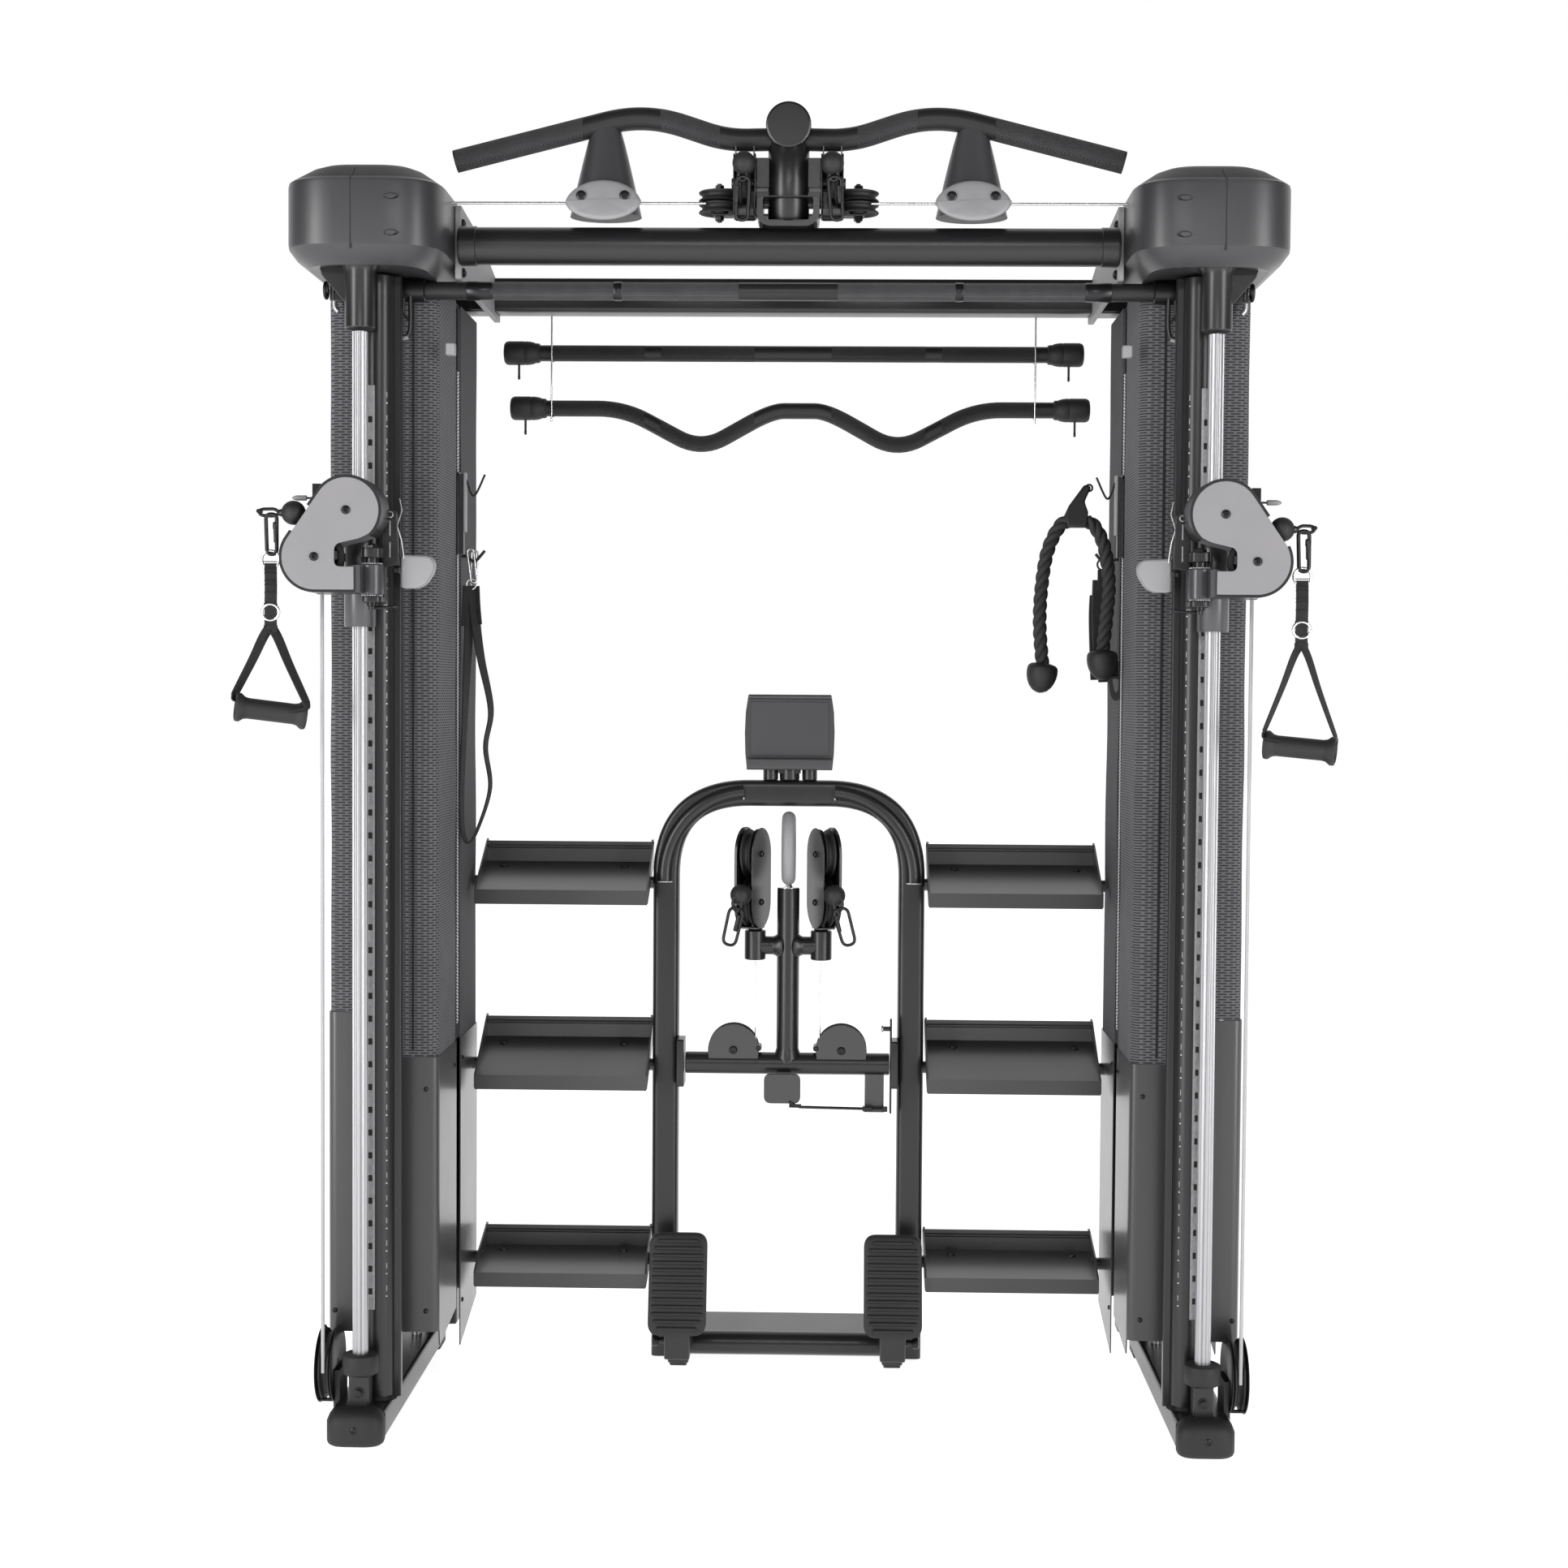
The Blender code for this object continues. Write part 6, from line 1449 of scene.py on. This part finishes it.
def foot_plate(s, side):
    x, half = s * 0.191, 0.0515
    z0, z1 = 0.068, 0.239
    leg_front = ARCH_Y - ARCH_HALF
    low_y, high_y = leg_front - 0.110, leg_front - 0.060

    def lean(p, back):
        return p[0], low_y + (high_y - low_y) * (p[1] - z0) / (z1 - z0) + back, p[1]

    corners = flat([(x - half, z0), (x + half, z0), (x + half, z1), (x - half, z1)], 0.022, 8)
    tight = flat([(x - half + 0.004, z0 + 0.004), (x + half - 0.004, z0 + 0.004),
            (x + half - 0.004, z1 - 0.004), (x - half + 0.004, z1 - 0.004)], 0.020, 8)
    plate = skin([[lean(p, 0.0015) for p in tight], [lean(p, 0.0045) for p in corners],
            [lean(p, 0.0135) for p in corners], [lean(p, 0.0175) for p in tight]])
    piece(f"{side}_tread", [plate], RUBBER, replaces=f"foot_plate_{side}", sharp=50)
    ribs = []
    for k in range(13):
        z = z0 + 0.012 + k * (z1 - z0 - 0.024) / 12
        narrow = half - 0.006 - (0.010 if k in (0, 12) else 0.003 if k in (1, 11) else 0)
        centre = lean((x, z), 0.0012)
        ribs.append(rod((x - narrow, centre[1], z), (x + narrow, centre[1], z), 0.0034, WIRE))
    piece(f"{side}_tread_ribs", ribs, RUBBER)
    stay = box((x - 0.0225, low_y + 0.014, 0.022), (x + 0.0225, leg_front, 0.108))
    shoe = box((x - 0.0185, leg_front - 0.060, 0.006), (x + 0.0185, leg_front - 0.010, 0.0300))
    toe = box((x - 0.0155, leg_front - 0.056, 0.0), (x + 0.0155, leg_front - 0.014, 0.008))
    piece(f"{side}_tread_stay", [stay, shoe, toe], BLACK, bevel=0.003)
    knob = turned((x + s * 0.018, leg_front - 0.050, 0.045), (s, 0, 0), [(0, 0.0105), (0.006, 0.0105),
            (0.0075, 0.0055), (0.018, 0.0050),
                  (0.0185, 0.0100), (0.024, 0.0110), (0.0285, 0.0100), (0.030, 0.0070)], FINE)
    piece(f"{side}_tread_knob", [knob], BOLT)


TRAY_BOLT = 0.80                    # how far back on the sloping floor the bolts are


def trays(s, side):
    for level, z, rise in (("top", 0.826, 0.104), ("middle", 0.495, 0.112), ("lower", 0.140, 0.080)):
        slope = rise - 0.040
        floor_y, floor_z = 0.415 + 0.145 * TRAY_BOLT, z + 0.026 + (slope + 0.0035 - 0.026) * TRAY_BOLT
        bolts = [turned((s * x, floor_y, floor_z - 0.001), (0, -0.35, 1),
                        [(0, 0.0075), (0.002, 0.0075), (0.004, 0.0058), (0.0045, 0.003)], FINE)
                        for x in (0.300, 0.520)]
        piece(f"{side}_{level}_tray_bolts", bolts, BOLT)
        edges = [box((s * (x - 0.0022), 0.5575, z + slope + 0.006), (s * (x + 0.0022), 0.5605, z + rise
                + 0.004)) for x in (0.2515, 0.5545)]
        piece(f"{side}_{level}_tray_edges", edges, SIDE_GREY, bevel=0.0006)
        fold = rod((s * 0.2520, 0.5545, z + rise - 0.010), (s * 0.5540, 0.5545, z + rise - 0.010), 0.0028, WIRE)
        piece(f"{side}_{level}_tray_fold", [fold], STEEL)


# ---------------------------------------------------------------- rope, straps and their hooks
HOOK_Y, TOWER_FACE = 0.330, cover_low.x - 0.0006


def hook_plate(s, side):
    channel = [box((s * (TOWER_FACE - 0.0020), HOOK_Y - 0.020, 1.440), (s * TOWER_FACE, HOOK_Y + 0.012, 1.580)),
               box((s * (TOWER_FACE - 0.0080), HOOK_Y - 0.006, 1.440), (s * TOWER_FACE, HOOK_Y + 0.006,
               1.578))]
    piece(f"{side}_hook_channel", channel, BLACK, bevel=0.0008)
    edge = box((s * (TOWER_FACE - 0.0125), HOOK_Y - 0.008, 1.478), (s * (TOWER_FACE - 0.0075), HOOK_Y + 0.006,
            1.580))
    piece(f"{side}_hook_edge", [edge], SIDE_GREY, bevel=0.0012)
    hooks = []
    for z, drop, r in ((1.567, 0.022, 0.0019), (1.436, 0.006, 0.0026)):
        path = [(s * (TOWER_FACE - 0.004), HOOK_Y, z), (s * (TOWER_FACE - 0.012), HOOK_Y, z),
                (s * (TOWER_FACE - 0.020), HOOK_Y, z - drop),
                (s * (TOWER_FACE - 0.028), HOOK_Y, z - drop - 0.002), (s * (TOWER_FACE - 0.044), HOOK_Y,
                z + 0.010)]
        hooks.append(sweep(fine_bend(path, 5), r, WIRE))
    piece(f"{side}_tower_hooks", hooks, BOLT)


def twisted(path, orbit, strand, pitch):
    """Three strands laid round a centre line."""
    line = fine_path(path, 0.0028)
    strands = [[] for _ in range(3)]
    travelled = 0.0
    for i, p in enumerate(line):
        ahead = (line[min(i + 1, len(line) - 1)] - line[max(i - 1, 0)]).normalized()
        across = (Vector((0, 1, 0)) - ahead * ahead.y).normalized()
        other = ahead.cross(across)
        if i:
            travelled += (p - line[i - 1]).length
        for k in range(3):
            t = 2 * math.pi * (travelled / pitch + k / 3)
            strands[k].append(p + orbit * (math.cos(t) * across + math.sin(t) * other))
    return [sweep(points, strand, WIRE) for points in strands], line


def length_of(line):
    return sum((b - a).length for a, b in zip(line, line[1:]))


ROPE_WIDE, YOKE_HALF = 0.0244, 0.0135
YOKE = [(-0.020, YOKE_HALF, -0.014), (0.014, YOKE_HALF, -0.014), (0.016, YOKE_HALF, 0.012),
        (0.010, YOKE_HALF * 0.6, 0.030), (0.022, 0.004, 0.056), (0.010, 0.004, 0.060),
        (-0.016, YOKE_HALF * 0.6, 0.024), (-0.024, YOKE_HALF, 0.006)]     # x, half depth, z


def rope():
    x, y, top = 0.500, HOOK_Y, 1.505
    points = [Vector((x - 0.004 + dx, y + way * depth, top + dz)) for way in (-1, 1) for dx, depth, dz in YOKE]
    faces = [tuple(range(8)), tuple(range(8, 16)), *[(i, (i + 1) % 8, 8 + (i + 1) % 8, 8 + i)
            for i in range(8)]]
    piece("rope_yoke", [(points, faces)], RUBBER, replaces="triceps_rope", bevel=0.004, segments=3)
    piece("rope_yoke_ring", [ring((x + 0.014, y, top + 0.054), 0.0055, 0.0018)], BOLT)
    outer = [(-0.010, 0.002), (-0.034, 0.010), (-0.056, 0.055), (-0.066, 0.120), (-0.068, 0.185),
            (-0.062, 0.255)]
    inner = [(0.010, 0.002), (0.026, 0.014), (0.042, 0.050), (0.050, 0.110), (0.046, 0.170), (0.040, 0.232)]
    for name, way_down, lean in (("outer", outer, 8), ("inner", inner, 0)):
        path = fine_bend([(x + dx, y, top - drop) for dx, drop in way_down], 8)
        strands, line = twisted(path, 0.0058, 0.0064, 0.058)
        cable = piece(f"rope_{name}_branch", strands, ROPE, sharp=60)
        tip = line[-1]
        cup = turned((tip.x, tip.y, tip.z + 0.006), (0, 0, -1), [(-0.002, 0.0125), (0.0, 0.0205),
                (0.003, 0.0245), (0.007, 0.0262), (0.014, 0.0267), (0.022, 0.0258), (0.030, 0.0235),
                (0.038, 0.0195), (0.045, 0.0130), (0.0485, 0.006), (0.0495, 0.001)], 48)
        end = piece(f"rope_{name}_end", [spun(cup, tip, "Y", lean)], RUBBER)
        length_of(line)


def ankle_strap():
    """A padded strap hanging behind the rope, on the lower hook."""
    x, y, top = TOWER_FACE - 0.034, HOOK_Y + 0.012, 1.430
    dee = ring((x + 0.003, HOOK_Y + 0.002, top - 0.002), 0.0095, 0.0017)
    piece("ankle_strap_ring", [dee], BOLT)
    hem = ribbon([(x + 0.004, y, top - 0.010), (x + 0.004, y, top - 0.030), (x + 0.003, y, top - 0.048)],
            0.018, 0.004, (1, 0.2, 0))
    folds = [ribbon(fine_bend([(x - 0.002 + dx, y + dy, top - 0.028 - start),
            (x - 0.003 + dx, y + dy, top - 0.100), (x + 0.001 + dx, y + dy, top - 0.170 - run)], 6), width,
            thick, (1, 0.3, 0))
             for dx, dy, start, run, width, thick in ((0, 0.004, 0.0, 0.0, 0.022, 0.007),
             (-0.005, 0.011, 0.026, 0.030, 0.020, 0.006), (0.008, 0.015, 0.012, 0.034, 0.018, 0.005))]
    strap = piece("ankle_strap", [hem, *folds], WEB, bevel=0.0012)
    x2 = x + 0.026
    outline = flat([(x2 - 0.012, 1.236), (x2 + 0.014, 1.236), (x2 + 0.012, 1.200), (x2 + 0.002, 1.192),
            (x2 - 0.006, 1.200)], 0.009, 5)
    hole = flat([(x2 - 0.004, 1.232), (x2 + 0.007, 1.232), (x2 + 0.006, 1.210), (x2 + 0.001, 1.208)], 0.004, 5)
    hole = resample(hole, len(outline))
    tab = skin([[(a, y + way * 0.003, b) for a, b in line]
                for way, line in ((-1, outline), (1, outline), (1, hole), (-1, hole))], closed=True)
    link = ribbon([(x2 + 0.001, y + 0.010, 1.262), (x2 + 0.001, y + 0.006, 1.245), (x2 + 0.001, y, 1.233)],
            0.014, 0.003, (1, 0, 0))
    piece("ankle_strap_tab", [tab, link], RUBBER)


def resample(outline, count):
    """The closed outline as the given number of evenly spaced points."""
    points = [Vector(p) for p in outline]
    points.append(points[0])
    total, out, k, run = length_of(points), [], 0, 0.0
    for i in range(count):
        goal = total * i / count
        while run + (points[k + 1] - points[k]).length < goal:
            run += (points[k + 1] - points[k]).length
            k += 1
        step = (points[k + 1] - points[k]).length
        out.append(tuple(points[k].lerp(points[k + 1], (goal - run) / step if step else 0)))
    return out


def strap_loop():
    """The long webbing loop on the left tower, hung from two snap hooks."""
    y = HOOK_Y
    clips = [carabiner((-0.552, y - 0.006, 1.448), 0.058, 0.013, 0.0017, 6),
             carabiner((-0.545, y + 0.004, 1.446), 0.060, 0.013, 0.0017, -4),
             ring((-0.5495, y - 0.002, 1.388), 0.0085, 0.0016)]
    piece("strap_loop_clips", clips, CHROME)
    route = [(-0.5515, y - 0.002, 1.384), (-0.5530, y - 0.002, 1.330), (-0.5560, y - 0.004, 1.254),
            (-0.5600, y - 0.006, 1.156), (-0.5650, y - 0.006, 1.029),
             (-0.5630, y - 0.006, 0.962), (-0.5535, y - 0.004, 0.940), (-0.5380, y - 0.004, 0.963),
             (-0.5160, y - 0.004, 1.036), (-0.5240, y - 0.004, 1.107),
             (-0.5150, y - 0.004, 1.172), (-0.5330, y - 0.002, 1.262), (-0.5430, y, 1.330),
             (-0.5470, y, 1.384)]
    line = fine_bend(route, 8)
    band = ribbon(line, 0.020, 0.0022, [(0.80, 0.60, 0), (0.25, 0.97, 0), (0.05, 1, 0), (0.25, 0.97, 0),
            (0.85, 0.55, 0)])
    loop = piece("strap_loop", [band], WEB, sharp=60)
    length_of(line)
    cuffs = [ribbon(fine_bend([(-0.5530, y - 0.005, 1.385), (-0.5545, y - 0.005, 1.350),
            (-0.5560, y - 0.006, 1.315)], 6), 0.0225, 0.0032, (0.85, 0.5, 0)),
             ribbon(fine_bend([(-0.5455, y + 0.004, 1.385), (-0.5440, y + 0.004, 1.352),
             (-0.5410, y + 0.004, 1.318)], 6), 0.0225, 0.0032, (0.85, -0.5, 0))]
    piece("strap_loop_cuffs", cuffs, WEB, bevel=0.0008)


# ---------------------------------------------------------------- putting it together
for side, s in SIDES:
    for build in (foot, fluted_rod, front_post, top_housing, upright, mesh_covers, steel_covers, weight_stack,
            wheels,
                  tower_cable, carriage, height_lever, swivel_arm, cable_end, hook_plate):
        build(s, side)
for side, s in SIDES:
    handle(s, side)
front_beam()
pull_up_bar()
sliding_bar()
accessory_bars()
centre_arch()
centre_column()
for side, s in SIDES:
    column_block(s, side)
tablet_holder()
for side, s in SIDES:
    foot_plate(s, side)
for side, s in SIDES:
    trays(s, side)
rope()
ankle_strap()
strap_loop()

CARRIED = {"height_strip": STRIP, "tray": STEEL}
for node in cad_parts:
    finish = next((finish for word, finish in CARRIED.items() if word in node), BLACK)
    materials = bpy.data.objects[node].data.materials
    if len(materials):
        materials[0] = finish
    else:
        materials.append(finish)


# ---------------------------------------------------------------- floor, lights and camera
FRONT_LIGHT, FLOOR_GLOW = 0.12, 0.80


def studio():
    plain = bpy.data.materials.new("studio_white")
    plain.use_nodes = True
    shader = plain.node_tree.nodes["Principled BSDF"]
    shader.inputs["Base Color"].default_value = (0.93, 0.93, 0.93, 1)
    shader.inputs["Roughness"].default_value = 0.9
    shader.inputs["Emission Color"].default_value = (1, 1, 1, 1)
    shader.inputs["Emission Strength"].default_value = FLOOR_GLOW
    floor = bpy.data.meshes.new("floor")
    floor.from_pydata([(-30, -30, 0), (30, -30, 0), (30, 30, 0), (-30, 30, 0)], [], [(0, 1, 2, 3)])
    floor.materials.append(plain)
    ground = bpy.data.objects.new("floor", floor)
    bpy.context.scene.collection.objects.link(ground)
    world = bpy.data.worlds.new("studio")
    world.use_nodes = True
    nodes, links = world.node_tree.nodes, world.node_tree.links
    way = nodes.new("ShaderNodeSeparateXYZ")
    links.new(nodes.new("ShaderNodeTexCoord").outputs["Generated"], way.inputs[0])
    dim = nodes.new("ShaderNodeMapRange")       # the room is darker on the user's side
    dim.interpolation_type = "SMOOTHSTEP"
    for key, value in (("From Min", 0.05), ("From Max", 0.75), ("To Min", FRONT_LIGHT), ("To Max", 1.0)):
        dim.inputs[key].default_value = value
    links.new(way.outputs["Y"], dim.inputs["Value"])
    seen = nodes.new("ShaderNodeMath")
    seen.operation = "MAXIMUM"
    links.new(nodes.new("ShaderNodeLightPath").outputs["Is Camera Ray"], seen.inputs[0])
    links.new(dim.outputs[0], seen.inputs[1])
    links.new(seen.outputs[0], nodes["Background"].inputs["Strength"])
    nodes["Background"].inputs["Color"].default_value = (1, 1, 1, 1)
    bpy.context.scene.world = world
    bpy.context.scene.view_settings.view_transform = "Standard"


def soft_light(name, place, target, size, power):
    data = bpy.data.lights.new(name, "AREA")
    data.shape, data.size, data.size_y, data.energy = "RECTANGLE", size[0], size[1], power
    lamp = bpy.data.objects.new(name, data)
    lamp.location = place
    lamp.rotation_euler = (Vector(target) - Vector(place)).to_track_quat("-Z", "Y").to_euler()
    bpy.context.scene.collection.objects.link(lamp)


def camera():
    data = bpy.data.cameras.new("camera")
    data.lens, data.sensor_width = 53.1, 36.0
    viewer = bpy.data.objects.new("camera", data)
    yaw, pitch, roll = math.radians(1.226), math.radians(90 - 2.2), math.radians(0.385)
    turn = Matrix.Rotation(yaw, 4, "Z") @ Matrix.Rotation(pitch, 4, "X") @ Matrix.Rotation(roll, 4, "Z")
    viewer.matrix_world = Matrix.Translation((0.079, ROD_PLANE - 3.668, 1.20)) @ turn
    bpy.context.scene.collection.objects.link(viewer)
    bpy.context.scene.camera = viewer


studio()
for name, place, height, size, power in (("key_left", (-2.9, -3.1, 1.6), 1.1, (0.8, 3.2), 95),
                                         ("key_right", (3.0, -3.1, 1.6), 1.1, (0.8, 3.2), 80),
                                         ("front", (0.1, -4.6, 2.6), 1.5, (1.5, 0.4), 26)):
    soft_light(name, place, (0, 0, height), size, power)
camera()
